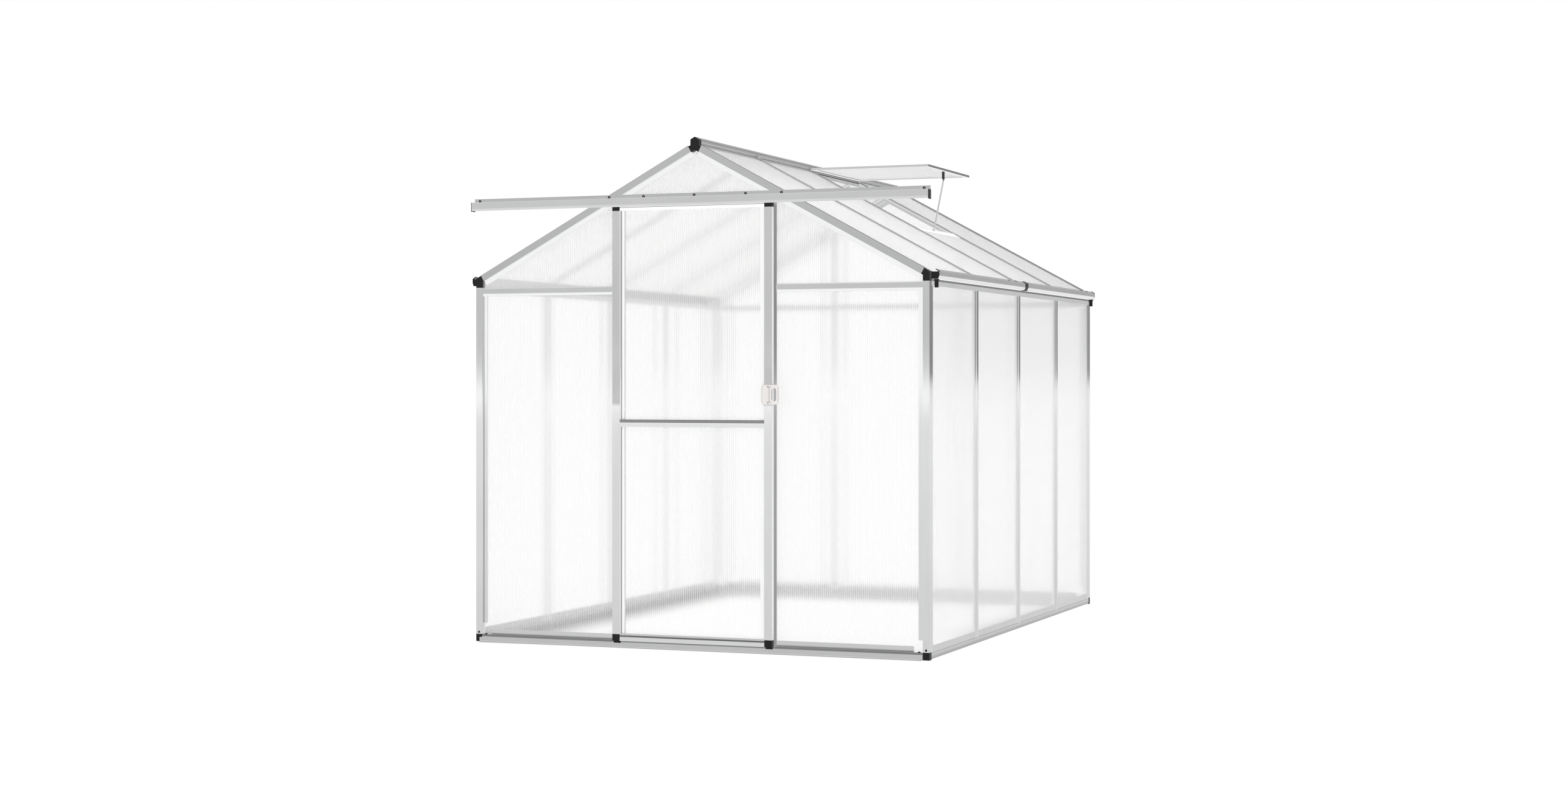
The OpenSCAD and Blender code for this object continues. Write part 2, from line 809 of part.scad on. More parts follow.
// Clip under the vent's outer member, foot on the sill and the arm between them
module vent_stay() {
    clip_h = 33;
    clip_w = 14;
    clip_t = 8;
    arm_w = 7;
    arm_t = 3;
    foot_h = 9;
    arm_y = vent_mid_y - 30;
    top_x = vent_x1 - vent_member + clip_t / 2;
    arm_top = [top_x, vent_z0 - clip_h + arm_w];
    arm_foot = slope_point(sill_s + 3, 5);
    arm = arm_top - arm_foot;
    color(plastic) placed() {
        translate([top_x - clip_t / 2, arm_y - clip_w - seat, vent_z0 - seat - clip_h])
            cube([clip_t, clip_w, clip_h]);
        on_roof() translate([sill_s + lip_t + seat, arm_y - clip_w - seat,
                lip_t + seat - roof_slot_out])
            cube([10, clip_w, foot_h]);
    }
    color(metal) placed()
        translate([arm_foot[0], arm_y, arm_foot[1]])
            rotate([0, atan2(arm[0], arm[1]), 0])
                translate([-arm_w / 2, 0, 0]) cube([arm_w, arm_t, norm(arm)]);
}

// ---------- sheets ----------

// The apex sheets stop below the ridge caps
apex_sheet_top = slope_point(ridge_seat, -rafter_face - 2)[1] - edge_gap;

module wall_sheet() {
    gable_plate(wall_glaze, wall_glaze + sheet_t) children();
}

bay_outer_x = half_w - post_w - edge_gap;
bay_inner_x = stud_x + lip_t / 2 + edge_gap;
mid_x = stud_x - lip_t / 2 - edge_gap;

// Sheet below the transom and sheet above it, in a gable's left bay
module gable_side_sheets() {
    wall_sheet() box2(-bay_outer_x, -bay_inner_x, sill_z + edge_gap, transom_web - edge_gap);
    wall_sheet() intersection() {
        box2(-bay_outer_x, -bay_inner_x, transom_web + lip_t + edge_gap, apex_z);
        under_roof(-rafter_face - edge_gap);
    }
}

module front_sheets() {
    color(sheet) placed() mirrored_x() gable_side_sheets();
}

module front_apex_sheet() {
    color(sheet) placed() wall_sheet() intersection() {
        box2(-mid_x, mid_x, header_z + lip_t + edge_gap, apex_sheet_top);
        under_roof(-rafter_face - edge_gap);
    }
}

module rear_sheets() {
    color(sheet) placed() at_rear() {
        mirrored_x() gable_side_sheets();
        wall_sheet() box2(-mid_x, mid_x, sill_z + edge_gap, transom_web - edge_gap);
        wall_sheet() intersection() {
            box2(-mid_x, mid_x, transom_web + lip_t + edge_gap, apex_sheet_top);
            under_roof(-rafter_face - edge_gap);
        }
    }
}

// Ends of bay i along a side, from slot bottom to slot bottom
function bay_start(i) = i == 0 ? post_d + edge_gap : i * bay_l + lip_t / 2 + edge_gap;
function bay_end(i) = i == side_bays - 1 ? wall_l - post_d - edge_gap
    : (i + 1) * bay_l - lip_t / 2 - edge_gap;

module side_sheet_row() {
    for (i = [0:side_bays - 1])
        translate([-half_w + side_glaze, bay_start(i), sill_z + edge_gap])
            cube([sheet_t, bay_end(i) - bay_start(i), post_top - sill_z - 2 * edge_gap]);
}

module side_sheets_left() {
    color(sheet) placed() side_sheet_row();
}

module side_sheets_right() {
    color(sheet) placed() mirror([1, 0, 0]) side_sheet_row();
}

module roof_sheet(i, top_s) {
    on_roof() translate([top_s, bay_start(i), -roof_glaze - sheet_t])
        cube([sheet_end_s - top_s, bay_end(i) - bay_start(i), sheet_t]);
}

module roof_sheets_left() {
    color(sheet) placed() mirror([1, 0, 0])
        for (i = [0:side_bays - 1]) roof_sheet(i, sheet_top_s);
}

module roof_sheets_right() {
    color(sheet) placed()
        for (i = [0:side_bays - 1])
            roof_sheet(i, i == vent_bay - 1 ? sill_s + lip_t + edge_gap : sheet_top_s);
}

// ---------- sliding door ----------

// The door hangs on the track's ledge and reaches past the studs beside the doorway
door_w = 2 * (stud_x + door_lap);
door_top = ledge_z - 5.5;
door_h = door_top - door_bottom;
top_rail_z = door_top - top_cap_h;
door_x0 = -door_w / 2 - door_shift;
door_x1 = door_w / 2 - door_shift;
door_glaze = (door_d - sheet_t) / 2;

module door_track() {
    color(metal) placed() run_x(-track_l / 2, track_l / 2) {
        box2(-3, 0, ledge_z, track_top + track_strip);
        box2(-track_d, -2, track_top - 2, track_top);
        box2(-16, -2, ledge_z, ledge_z + ledge_t);
        polygon([[-track_d, track_top - 1], [-track_d, ledge_z], [-track_d + 0.8, track_bottom + 4],
            [-track_d + 1.8, track_bottom], [-track_d + 2.5, track_bottom],
            [-track_d + 2.5, track_bottom + 3], [-track_d + 1.8, ledge_z],
            [-track_d + 1.8, track_top - 1]]);
    }
}

module track_end_plates() {
    color(plastic) placed() mirrored_x() run_x(track_l / 2 + seat, track_l / 2 + seat + 2)
        box2(-track_d, 0, track_bottom - 2, track_top);
}

// From door coordinates, with the closed door's left edge at x = 0 and its front at y = 0
module on_door() {
    translate([door_x0, door_front, door_bottom]) children();
}

module door_stile() {
    translate([0, 0, bottom_cap_h + seat])
        linear_extrude(door_h - bottom_cap_h - top_cap_h - 2 * seat) {
            hollow_box2(0, stile_w, 0, door_d, tube_t);
            box2(stile_w, stile_w + stile_lip, door_glaze - sheet_gap - lip_t,
                door_glaze - sheet_gap);
            box2(stile_w, stile_w + stile_lip, door_glaze + sheet_t + sheet_gap,
                door_glaze + sheet_t + sheet_gap + lip_t);
        }
}

module door_stiles() {
    color(metal) placed() on_door() {
        door_stile();
        translate([door_w, 0, 0]) mirror([1, 0, 0]) door_stile();
    }
}

// Door rail as [depth, height above its lower edge]
module door_rail_section(lip) {
    hollow_box2(0, door_d, 0, rail_face, tube_t);
    if (lip > 0) {
        box2(0, lip_t, rail_face - cut, rail_face + lip);
        box2(door_glaze + sheet_t + sheet_gap, door_glaze + sheet_t + sheet_gap + lip_t,
            rail_face, rail_face + lip);
    }
}

module door_rail(z, lip) {
    notch = stile_lip + seat;
    translate([0, 0, z - door_bottom]) difference() {
        run_x(stile_w + seat, door_w - stile_w - seat) door_rail_section(lip);
        // the stiles' lips pass through the ends of the rail
        for (x = [stile_w, door_w - stile_w - notch])
            translate([x, door_glaze - sheet_gap - lip_t - seat, -cut])
                cube([notch, sheet_t + 2 * (sheet_gap + lip_t + seat), rail_face + lip + 2 * cut]);
    }
}

module door_rails() {
    color(metal) placed() on_door() {
        door_rail(door_bottom, rail_lip);
        door_rail(mid_rail_z, rail_lip);
        door_rail(top_rail_z, 0);
    }
}

module door_sheet(z0, z1) {
    x0 = stile_w + edge_gap;
    translate([x0, door_glaze, z0 - door_bottom + edge_gap])
        cube([door_w - 2 * x0, sheet_t, z1 - z0 - 2 * edge_gap]);
}

module door_sheets() {
    color(sheet) placed() on_door() {
        door_sheet(door_bottom + rail_face, mid_rail_z);
        door_sheet(mid_rail_z + rail_face, top_rail_z);
    }
}

// Ends of the stiles; the lower pair carries a tongue that runs in the floor guide
module door_end_caps() {
    tongue_l = 28;
    tongue_t = 6;
    tongue_bottom = 7;
    color(plastic) placed() on_door() for (x = [0, door_w - stile_w]) {
        translate([x, 0, door_h - top_cap_h]) cube([stile_w, door_d, top_cap_h]);
        translate([x, 0, 0]) cube([stile_w, door_d, bottom_cap_h]);
        translate([x + (stile_w - tongue_l) / 2, -door_front - guide_d / 2 - tongue_t / 2,
                tongue_bottom - door_bottom])
            cube([tongue_l, tongue_t, door_bottom - tongue_bottom + cut]);
    }
}

// Hanger on the top rail and the roller that runs on the track's ledge
module door_rollers() {
    hanger_w = 40;
    hanger_y = 1;
    hanger_t = 2;
    roller_y = 9;
    roller_w = 6;
    hanger_z = door_h - top_cap_h + rail_face + seat;
    axle_z = ledge_z + ledge_t + seat + roller_r - door_bottom;
    color(plastic) placed() on_door() for (x = [90, door_w - 90]) {
        translate([x - hanger_w / 2, hanger_y, hanger_z])
            cube([hanger_w, hanger_t, axle_z + 5 - hanger_z]);
        translate([x - hanger_w / 2, hanger_y, hanger_z]) cube([hanger_w, door_d - 2, 3]);
        translate([x, hanger_y + 1, axle_z]) rotate([-90, 0, 0])
            cylinder(r = 3, h = roller_y - hanger_y);
        translate([x, roller_y, axle_z]) rotate([-90, 0, 0]) cylinder(r = roller_r, h = roller_w);
    }
}

// ---------- handle ----------

knuckle_r = handle_pin_r + 1.6;
handle_y = door_front - seat;
pin_x = door_x1 - stile_w - handle_overhang + handle_plate_w;
pin_y = handle_y - handle_t - seat - knuckle_r;
pull_y = pin_y - knuckle_r;
handle_z0 = handle_z - handle_h / 2;
tab_z0 = handle_z0 + handle_ear_h;
tab_h = handle_h - 2 * handle_ear_h;

// Outline [x, z] of a plate from the pin to x1 whose far corners are round
module round_end(x1, r) {
    step = x1 > pin_x ? 1 : -1;
    hull() {
        translate([min(pin_x, pin_x + step), handle_z0]) square([1, handle_h]);
        for (z = [handle_z0 + r, handle_z0 + handle_h - r])
            translate([x1 - step * r, z]) circle(r = r);
    }
}

// Plate on the stile, the ears that stand up from it and the hinge pin
module handle_plate() {
    color(pale_metal) placed() {
        gable_plate(handle_y - handle_t, handle_y)
            round_end(pin_x - handle_plate_w, 9);
        for (z = [handle_z0, handle_z0 + handle_h - handle_ear_h]) {
            translate([pin_x, pin_y, z]) cylinder(r = knuckle_r, h = handle_ear_h);
            translate([pin_x - knuckle_r, pin_y, z])
                cube([2 * knuckle_r, handle_y - pin_y - handle_t + 1, handle_ear_h]);
        }
        translate([pin_x, pin_y, handle_z0 + 1]) cylinder(r = handle_pin_r, h = handle_h - 2);
    }
}

// Hinged pull with an upright oval opening
module handle_pull() {
    oval_x = pin_x + handle_pull_w / 2 - 0.5;
    oval_z0 = handle_z0 + handle_ear_h + 2 + handle_oval_r;
    oval_z1 = handle_z0 + handle_h - handle_ear_h - 2 - handle_oval_r;
    color(pale_metal) placed() difference() {
        union() {
            translate([pin_x, pin_y, tab_z0 + seat]) cylinder(r = knuckle_r, h = tab_h - 2 * seat);
            gable_plate(pull_y, pull_y + handle_t) difference() {
                round_end(pin_x + handle_pull_w, 12);
                for (z = [handle_z0 - cut, tab_z0 + tab_h - seat])
                    translate([pin_x - cut, z])
                        square([knuckle_r + seat + cut, handle_ear_h + seat + cut]);
                translate([oval_x, oval_z0]) circle(r = handle_oval_r);
                translate([oval_x, oval_z1]) circle(r = handle_oval_r);
                translate([oval_x - handle_oval_r, oval_z0])
                    square([2 * handle_oval_r, oval_z1 - oval_z0]);
            }
        }
        translate([pin_x, pin_y, handle_z0]) cylinder(r = handle_pin_r + pin_gap, h = handle_h);
    }
}

base_rail_front();
base_rail_rear();
side_base_rails();
base_corners();
floor_guide();
corner_posts_front();
corner_posts_rear();
side_bars_left();
side_bars_right();
front_studs();
rear_studs();
gable_transoms();
door_header();
eaves_beams();
eaves_corners();
gutter_left();
gutter_right();
gutter_fittings();
gutter_outlets();
rafters_front();
rafters_rear();
ridge_beam();
ridge_end_caps();
roof_bars_left();
roof_bars_right();
vent_sill();
vent_frame();
vent_sheet();
vent_stay();
front_sheets();
front_apex_sheet();
rear_sheets();
side_sheets_left();
side_sheets_right();
roof_sheets_left();
roof_sheets_right();
door_track();
track_end_plates();
door_stiles();
door_rails();
door_sheets();
door_end_caps();
door_rollers();
handle_plate();
handle_pull();
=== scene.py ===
"""Walk-in greenhouse: finishes, fastenings and stage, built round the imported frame."""

import math

import bmesh
import bpy
from mathutils import Matrix, Vector


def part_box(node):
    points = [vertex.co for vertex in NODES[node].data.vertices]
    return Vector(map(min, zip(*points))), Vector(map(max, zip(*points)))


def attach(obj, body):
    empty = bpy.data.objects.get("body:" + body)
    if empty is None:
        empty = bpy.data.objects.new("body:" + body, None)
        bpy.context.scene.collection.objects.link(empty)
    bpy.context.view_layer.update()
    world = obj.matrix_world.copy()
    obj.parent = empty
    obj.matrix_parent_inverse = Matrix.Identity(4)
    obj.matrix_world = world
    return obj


bl_info = {
    "name": "Walk-in Greenhouse",
    "version": (1, 0, 0),
    "blender": (4, 5, 0),
    "location": "View3D > Sidebar > Greenhouse",
    "description": "Finishes, fastenings and stage for an aluminium greenhouse",
    "category": "Object",
}

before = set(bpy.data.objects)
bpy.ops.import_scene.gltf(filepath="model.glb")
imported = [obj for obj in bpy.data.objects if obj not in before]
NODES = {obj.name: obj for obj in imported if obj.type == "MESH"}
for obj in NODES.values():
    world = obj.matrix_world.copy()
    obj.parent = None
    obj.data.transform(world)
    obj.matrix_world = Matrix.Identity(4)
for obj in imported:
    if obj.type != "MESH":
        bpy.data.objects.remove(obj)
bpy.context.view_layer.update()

BODY = "frame"
DOOR = "door"

# The walls' outer faces and the main levels, read from the frame
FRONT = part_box("corner_posts_front")[0][1]
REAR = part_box("corner_posts_rear")[1][1]
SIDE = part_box("corner_posts_front")[1][0]
POST_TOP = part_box("corner_posts_front")[1][2]
TRACK_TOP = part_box("door_track")[1][2]
RIDGE_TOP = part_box("ridge_beam")[1][2]
GUTTER_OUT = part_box("gutter_right")[1][0]
GUTTER_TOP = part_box("gutter_right")[1][2]
BAY = (REAR - FRONT) / 4
STUD = SIDE / 3
PITCH = math.radians(28.4)
APEX = RIDGE_TOP - 0.0185
EDGE = 0.0004  # over how much a finish changes at a sharp edge

# Where the small parts sit, and the middles of the handle's hinge and slot
HINGE_X = 0.3243
SLOT_X = 0.3413
TRACK_BOLTS = (-0.9305, -0.3615, -0.214, 0.0, 0.214, 0.3615, 0.9305)
BAR_ROWS = tuple(FRONT + BAY * i for i in (1, 2, 3))


# ---------- sizes and colours a user may change ----------


def length(name, text, default):
    return bpy.props.FloatProperty(
        name=name, description=text, default=default, min=0.0, subtype="DISTANCE", unit="LENGTH", precision=4
    )


def factor(name, text, default):
    return bpy.props.FloatProperty(name=name, description=text, default=default, min=0.0, max=1.0, subtype="FACTOR")


def tint(name, text, default):
    return bpy.props.FloatVectorProperty(
        name=name, description=text, default=default, min=0.0, max=1.0, size=3, subtype="COLOR"
    )


class MetalFinish(bpy.types.PropertyGroup):
    """Mill aluminium of the bars, rails, track and gutters"""

    colour: tint("Aluminium", "Colour of the bare bars", (0.78, 0.783, 0.786))
    # painted reflection: faces that look at the ground are painted brighter than the bars
    underside: factor("Undersides", "Brightness of faces that look at the ground", 0.96)
    roughness: factor("Roughness", "How dull the drawn faces are", 0.055)
    streaks: factor("Streaks", "Strength of the fine drawing marks", 0.10)
    clouds: factor("Clouds", "Strength of the slow changes along a bar", 0.10)
    zinc: tint("Zinc", "Colour of nuts, washers and brackets", (0.40, 0.405, 0.41))


class SheetFinish(bpy.types.PropertyGroup):
    """Twin-wall sheets"""

    gable: tint("Gable sheets", "Colour of the sheets in the gables and the door", (0.992, 0.993, 0.992))
    # painted shade: the side sheets are a slightly greyer copy of the gable sheets' white and the roof sheets a
    # markedly greyer one; the roof's undersides are painted back up to white
    side: tint("Side sheets", "Colour of the sheets in the side walls", (0.984, 0.985, 0.984))
    roof: tint("Roof sheets", "Colour of the roof's sheets above the eaves", (0.90, 0.902, 0.90))
    rib_pitch: length("Rib pitch", "Distance between the ribs inside a sheet", 0.0082)
    cover: factor("Cover", "How much a skin hides of what is behind it", 0.93)
    gap_cover: factor("Gap cover", "How much is hidden in the clearest line between two ribs", 0.42)
    clearness: factor("Clearness", "How much light passes the walls' skins, blurred", 0.72)
    roof_clearness: factor("Roof clearness", "How much light passes the roof's skins, blurred", 0.40)
    # painted light: the sheets glow with this strength, though they are no lamp
    glow: factor("Glow", "Light that the skins scatter back from inside", 0.018)
    roughness: factor("Roughness", "How much the skins blur what is behind them", 0.14)


class PlasticFinish(bpy.types.PropertyGroup):
    """Black mouldings and the pale handle"""

    moulding: tint("Mouldings", "Colour of the corner pieces and caps", (0.007, 0.007, 0.0075))
    handle: tint("Handle", "Colour of the painted handle", (0.83, 0.795, 0.78))
    roughness: factor("Roughness", "How dull the mouldings are", 0.42)


class Fastenings(bpy.types.PropertyGroup):
    """Bolts, screws, nuts and clips"""

    bolt_head: length("Track bolt", "Diameter of the caps along the door track", 0.0112)
    post_screw: length("Post screw", "Diameter of the screws at the posts' feet", 0.0088)
    sill_bolt: length("Sill bolt", "Diameter of the bolt heads at the ends of the gable rails", 0.0110)
    nut: length("Nut", "Width of the nuts inside, across their corners", 0.0112)
    rivet: length("Rivet", "Diameter of the rivets in the handle", 0.0062)
    clip: length("Gutter clip", "Length of the small clips on the gutters", 0.0240)
    bracket: length("Ridge bracket", "Length of the brackets at the heads of the roof bars", 0.0300)


class Studio(bpy.types.PropertyGroup):
    """Camera, floor and light"""

    lens: bpy.props.FloatProperty(
        name="Lens", description="Focal length of the camera on a 36 mm sensor", default=55.09, min=10.0, unit="CAMERA"
    )
    heading: bpy.props.FloatProperty(
        name="Heading",
        description="Turn of the camera about the upright",
        default=math.radians(21.107),
        subtype="ANGLE",
    )
    floor_radius: length("Floor radius", "How far the pale floor reaches", 100.0)
    floor_near: bpy.props.FloatProperty(
        name="Floor near", description="Brightness of the floor's reflection beside the building", default=0.74, min=0.0
    )
    floor_rise: bpy.props.FloatProperty(
        name="Floor rise", description="How much brighter that reflection grows with distance", default=0.039, min=0.0
    )
    floor_light: bpy.props.FloatProperty(
        name="Floor light", description="Light that the floor throws on the walls", default=1.06, min=0.0
    )
    contact: factor("Contact shade", "Depth of the soft shade on the floor along the walls, inside", 0.85)


# ---------- shader and node helpers ----------


class Num:
    """A number that varies over a surface; arithmetic on it adds Math nodes."""

    def __init__(self, graph, socket):
        self.graph = graph
        self.socket = socket

    def _math(self, operation, *terms, clamp=False):
        node = self.graph.node("ShaderNodeMath", {"operation": operation, "use_clamp": clamp}, dict(enumerate(terms)))
        return Num(self.graph, node.outputs[0])

    def __add__(self, other):
        return self._math("ADD", self, other)

    __radd__ = __add__

    def __mul__(self, other):
        return self._math("MULTIPLY", self, other)

    __rmul__ = __mul__

    def __sub__(self, other):
        return self._math("SUBTRACT", self, other)

    def __rsub__(self, other):
        return self._math("SUBTRACT", other, self)

    def __truediv__(self, other):
        return self._math("DIVIDE", self, other)

    def __rtruediv__(self, other):
        return self._math("DIVIDE", other, self)

    def __abs__(self):
        return self._math("ABSOLUTE", self)

    def root(self):
        return self._math("SQRT", self)

    def log(self):
        return self._math("LOGARITHM", self, math.e)

    def sine(self):
        return self._math("SINE", self)

    def clamp(self):
        return self._math("ADD", self, 0.0, clamp=True)

    def largest(self, other):
        return self._math("MAXIMUM", self, other)

    def smallest(self, other):
        return self._math("MINIMUM", self, other)

    def step(self, low, high):
        """0 below low, 1 above high, smooth between them; low may be the larger."""
        node = self.graph.node(
            "ShaderNodeMapRange",
            {"interpolation_type": "SMOOTHSTEP", "clamp": True},
            {"Value": self, "From Min": low, "From Max": high, "To Min": 0.0, "To Max": 1.0},
        )
        return Num(self.graph, node.outputs["Result"])


class Graph:
    """The nodes of one material, world or piece."""

    def __init__(self, tree):
        self.tree = tree
        tree.nodes.clear()

    def node(self, kind, settings=None, values=None):
        """One node: its settings first, then the values or links of its sockets."""
        node = self.tree.nodes.new(kind)
        for name, value in (settings or {}).items():
            if name == "stops":
                ramp = node.color_ramp
                while len(ramp.elements) < len(value):
                    ramp.elements.new(0.5)
                for element, (place, level) in zip(ramp.elements, value):
                    element.position = place
                    element.color = (level, level, level, 1.0)
            else:
                setattr(node, name, value)
        for name, value in (values or {}).items():
            socket = node.inputs[name]
            if isinstance(value, Num):
                self.tree.links.new(value.socket, socket)
            elif isinstance(value, bpy.types.NodeSocket):
                self.tree.links.new(value, socket)
            else:
                socket.default_value = value
        return node

    def place(self):
        """Object coordinates as a vector and as x, y, z."""
        vector = self.node("ShaderNodeTexCoord").outputs["Object"]
        return (vector, *self.split(vector))

    def facing(self):
        """The surface's normal as a vector and as x, y, z."""
        vector = self.node("ShaderNodeNewGeometry").outputs["Normal"]
        return (vector, *self.split(vector))

    def split(self, vector):
        parts = self.node("ShaderNodeSeparateXYZ", values={0: vector})
        return tuple(Num(self, parts.outputs[i]) for i in range(3))

    def join(self, x, y, z):
        return self.node("ShaderNodeCombineXYZ", values={0: x, 1: y, 2: z}).outputs[0]

    def stretch(self, vector, scale):
        return self.node("ShaderNodeMapping", values={"Vector": vector, "Scale": scale}).outputs[0]

    def vector(self, operation, *terms):
        return self.node("ShaderNodeVectorMath", {"operation": operation}, dict(enumerate(terms))).outputs[0]

    def noise(self, vector, scale, detail=2.0):
        node = self.node(
            "ShaderNodeTexNoise",
            {"noise_dimensions": "3D"},
            {"Vector": vector, "Scale": scale, "Detail": detail, "Roughness": 0.55},
        )
        return Num(self, node.outputs["Fac"])

    def mix(self, share, first, second):
        node = self.node(
            "ShaderNodeMix", {"data_type": "RGBA"}, {"Factor": share, 6: rgba(first), 7: rgba(second)}
        )
        return node.outputs[2]

    def shade(self, colour, share):
        """A colour made darker or lighter by a number."""
        plain = colour if isinstance(colour, bpy.types.NodeSocket) else tuple(colour)[:3]
        return self.vector("MULTIPLY", plain, self.join(share, share, share))

    def bump(self, height, distance, strength=1.0):
        return self.node(
            "ShaderNodeBump", values={"Height": height, "Distance": distance, "Strength": strength}
        ).outputs["Normal"]

    def surface(self, **values):
        """The shader itself, with names such as base_color for Base Color."""
        named = {name.replace("_", " ").title().replace("Ior", "IOR"): value for name, value in values.items()}
        shader = self.node("ShaderNodeBsdfPrincipled", values=named)
        self.node("ShaderNodeOutputMaterial", values={"Surface": shader.outputs[0]})
        return shader


def rgba(colour):
    if isinstance(colour, (bpy.types.NodeSocket, Num)):
        return colour
    return (*tuple(colour)[:3], 1.0)


def material(name):
    made = bpy.data.materials.new(name)
    made.use_nodes = True
    return made, Graph(made.node_tree)


def dress(finish, *names):
    """Gives CAD nodes one finish. Only the surroundings show in their gloss."""
    for name in names:
        NODES[name].visible_glossy = False
        mesh = NODES[name].data
        mesh.materials.clear()
        mesh.materials.append(finish)


# ---------- finishes ----------


def below_roof(x, z):
    """How far a place lies below the roof's top plane, square to it."""
    return APEX * math.cos(PITCH) - abs(x) * math.sin(PITCH) - z * math.cos(PITCH)


def drawn_metal(name, run, lips=None, level=None, black=None, dull=None, turn=(-0.27, 0.0), painted_underside_reflection=True):
    """Mill aluminium, drawn along x, y, z or s for the slope.

    The next four take a place. lips gives the share turned a little sideways, level how much darker or
    lighter it is painted, as painted shade and painted highlight, black the share that is moulded plastic, and
    dull the share painted a flat matt grey in place of the metal, as painted reflection, and how light that is.
    """
    metal = bpy.context.scene.greenhouse_metal
    made, g = material(name)
    vector, x, y, z = g.place()
    normal, nx, ny, nz = g.facing()
    if run == "s":
        folded = g.join(abs(x), y, z)
        vector = g.node(
            "ShaderNodeMapping", {"vector_type": "POINT"}, {"Vector": folded, "Rotation": (0.0, -PITCH, 0.0)}
        ).outputs[0]
    along = "x" if run == "s" else run
    fine = tuple(3.0 if axis == along else 420.0 for axis in "xyz")
    slow = tuple(5.0 if axis == along else 14.0 for axis in "xyz")
    streak = g.noise(g.stretch(vector, fine), 1.0, 3.0) - 0.5
    cloud = g.noise(g.stretch(vector, slow), 1.0, 2.0) - 0.5
    share = 1.0 + streak * metal.streaks + cloud * metal.clouds
    colour, metallic, extra = metal.colour, 1.0, {}
    # painted reflection: faces that look at the ground take the brighter underside colour
    if painted_underside_reflection:
        colour = g.mix(nz.step(-0.15, -0.5), colour, (metal.underside,) * 3)
    # painted shade and painted highlight: level makes the colour darker or lighter by place
    if level:
        share = share * level(x, y, z)
    colour = g.shade(colour, share)
    if lips:
        mask = lips(x, y, z) * (abs(nx).largest(abs(ny))).step(0.6, 0.9)
        leaning = g.vector("ADD", normal, g.join(mask * turn[0], mask * turn[1], 0.0))
        extra["normal"] = g.vector("NORMALIZE", leaning)
    # painted reflection: the dull share is painted a flat grey instead of mirroring its surroundings
    if dull:
        cover, light = dull(x, y, z, nx, ny)
        light = light * share
        extra["specular_ior_level"] = 0.0
        colour = g.mix(cover, colour, g.join(light, light * 1.002, light))
        metallic = 1.0 - cover
    if black:
        dark = black(x, y, z)
        colour = g.mix(dark, colour, (0.012, 0.012, 0.013))
        metallic = 1.0 - dark
    g.surface(base_color=colour, metallic=metallic, roughness=metal.roughness + (cloud + 0.5) * 0.02, **extra)
    return made


def ribbed_sheet(name, across, colour, clearness, height=None):
    """Twin-wall sheet whose ribs stand side by side along x or y.

    height takes x, y, z and the normal's z, and gives a lightness of painted shade and painted light.
    """
    sheet = bpy.context.scene.greenhouse_sheet
    made, g = material(name)
    vector, x, y, z = g.place()
    normal, nx, ny, nz = g.facing()
    line = x if across == "x" else y
    wave = (line * (2 * math.pi / sheet.rib_pitch)).sine() * 0.5 + 0.5
    rib = wave.step(0.35, 0.95)
    gap = wave.step(0.30, 0.02)
    haze = g.noise(g.stretch(vector, (14.0, 14.0, 1.5)), 1.0) - 0.5
    share = 1.0 - rib * 0.004 - abs(haze) * 0.010
    # painted shade: height darkens or lightens the sheet by place
    if height:
        share = share * height(x, y, z, nz)
    g.surface(
        base_color=g.shade(colour, share),
        # painted light: the skins glow in their own colour
        emission_color=g.shade(colour, share),
        emission_strength=sheet.glow,
        roughness=sheet.roughness + rib * 0.10 + haze * 0.04,
        alpha=(sheet.cover - gap * (sheet.cover - sheet.gap_cover) + haze * 0.05).clamp(),
        normal=g.bump(wave, 0.00003),
        transmission_weight=clearness,
        ior=1.06,
    )
    return made


def moulded_plastic(name, colour, roughness):
    """Plastic with the faint grain of its mould."""
    made, g = material(name)
    vector, x, y, z = g.place()
    grain = g.noise(vector, 900.0, 2.0)
    wear = g.noise(vector, 35.0, 3.0)
    g.surface(
        base_color=g.shade(colour, 0.85 + wear * 0.5),
        roughness=roughness + (grain - 0.5) * 0.12,
        normal=g.bump(grain, 0.00006, 0.5),
        specular_ior_level=0.22,
    )
    return made


def painted_metal(name, colour):
    """Smooth off-white paint on the handle, with painted shade along its rim, at the hinge, at the ears and in the
    slot.
    """
    made, g = material(name)
    vector, x, y, z = g.place()
    peel = g.noise(vector, 420.0, 2.0)
    wear = g.noise(vector, 60.0, 3.0)
    plate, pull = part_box("handle_plate"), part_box("handle_pull")
    middle, half = (plate[0][2] + plate[1][2]) / 2, (plate[1][2] - plate[0][2]) / 2
    # painted shade: the rim, the hinge, the ears and the slot are painted darker
    rim = (x - plate[0][0]).smallest(pull[1][0] - x).smallest(half - abs(z - middle)).step(0.0022, 0.0006)
    beside, above = x - HINGE_X, abs(z - middle)
    hinge = beside.step(-0.0030, -0.0024) * beside.step(-0.0004, -0.0010) * above.step(0.0290, 0.0284)
    ears = abs(above - 0.0282).step(0.0010, 0.0004) * abs(beside).step(0.0080, 0.0070)
    slot_x, slot_z = abs(x - SLOT_X), (above - 0.0150).largest(0.0)
    slot = (slot_x * slot_x + slot_z * slot_z).root().step(0.0112, 0.0094)
    dark = (rim * 0.45).largest(hinge * 0.85).largest(ears * 0.7).largest(slot * 0.45)
    g.surface(
        base_color=g.shade(colour, (0.97 + wear * 0.1) * (1.0 - dark)),
        roughness=0.28 + (peel - 0.5) * 0.10,
        normal=g.bump(peel, 0.00005, 0.5),
        coat_weight=0.4 + (wear - 0.5) * 0.2,
    )
    return made


def zinc_metal(name):
    """Plated nuts, washers and brackets."""
    metal = bpy.context.scene.greenhouse_metal
    made, g = material(name)
    vector, x, y, z = g.place()
    spangle = g.noise(vector, 260.0, 2.0)
    g.surface(
        base_color=g.shade(metal.zinc, 0.85 + spangle * 0.3),
        metallic=1.0,
        roughness=0.22 + spangle * 0.12,
    )
    return made


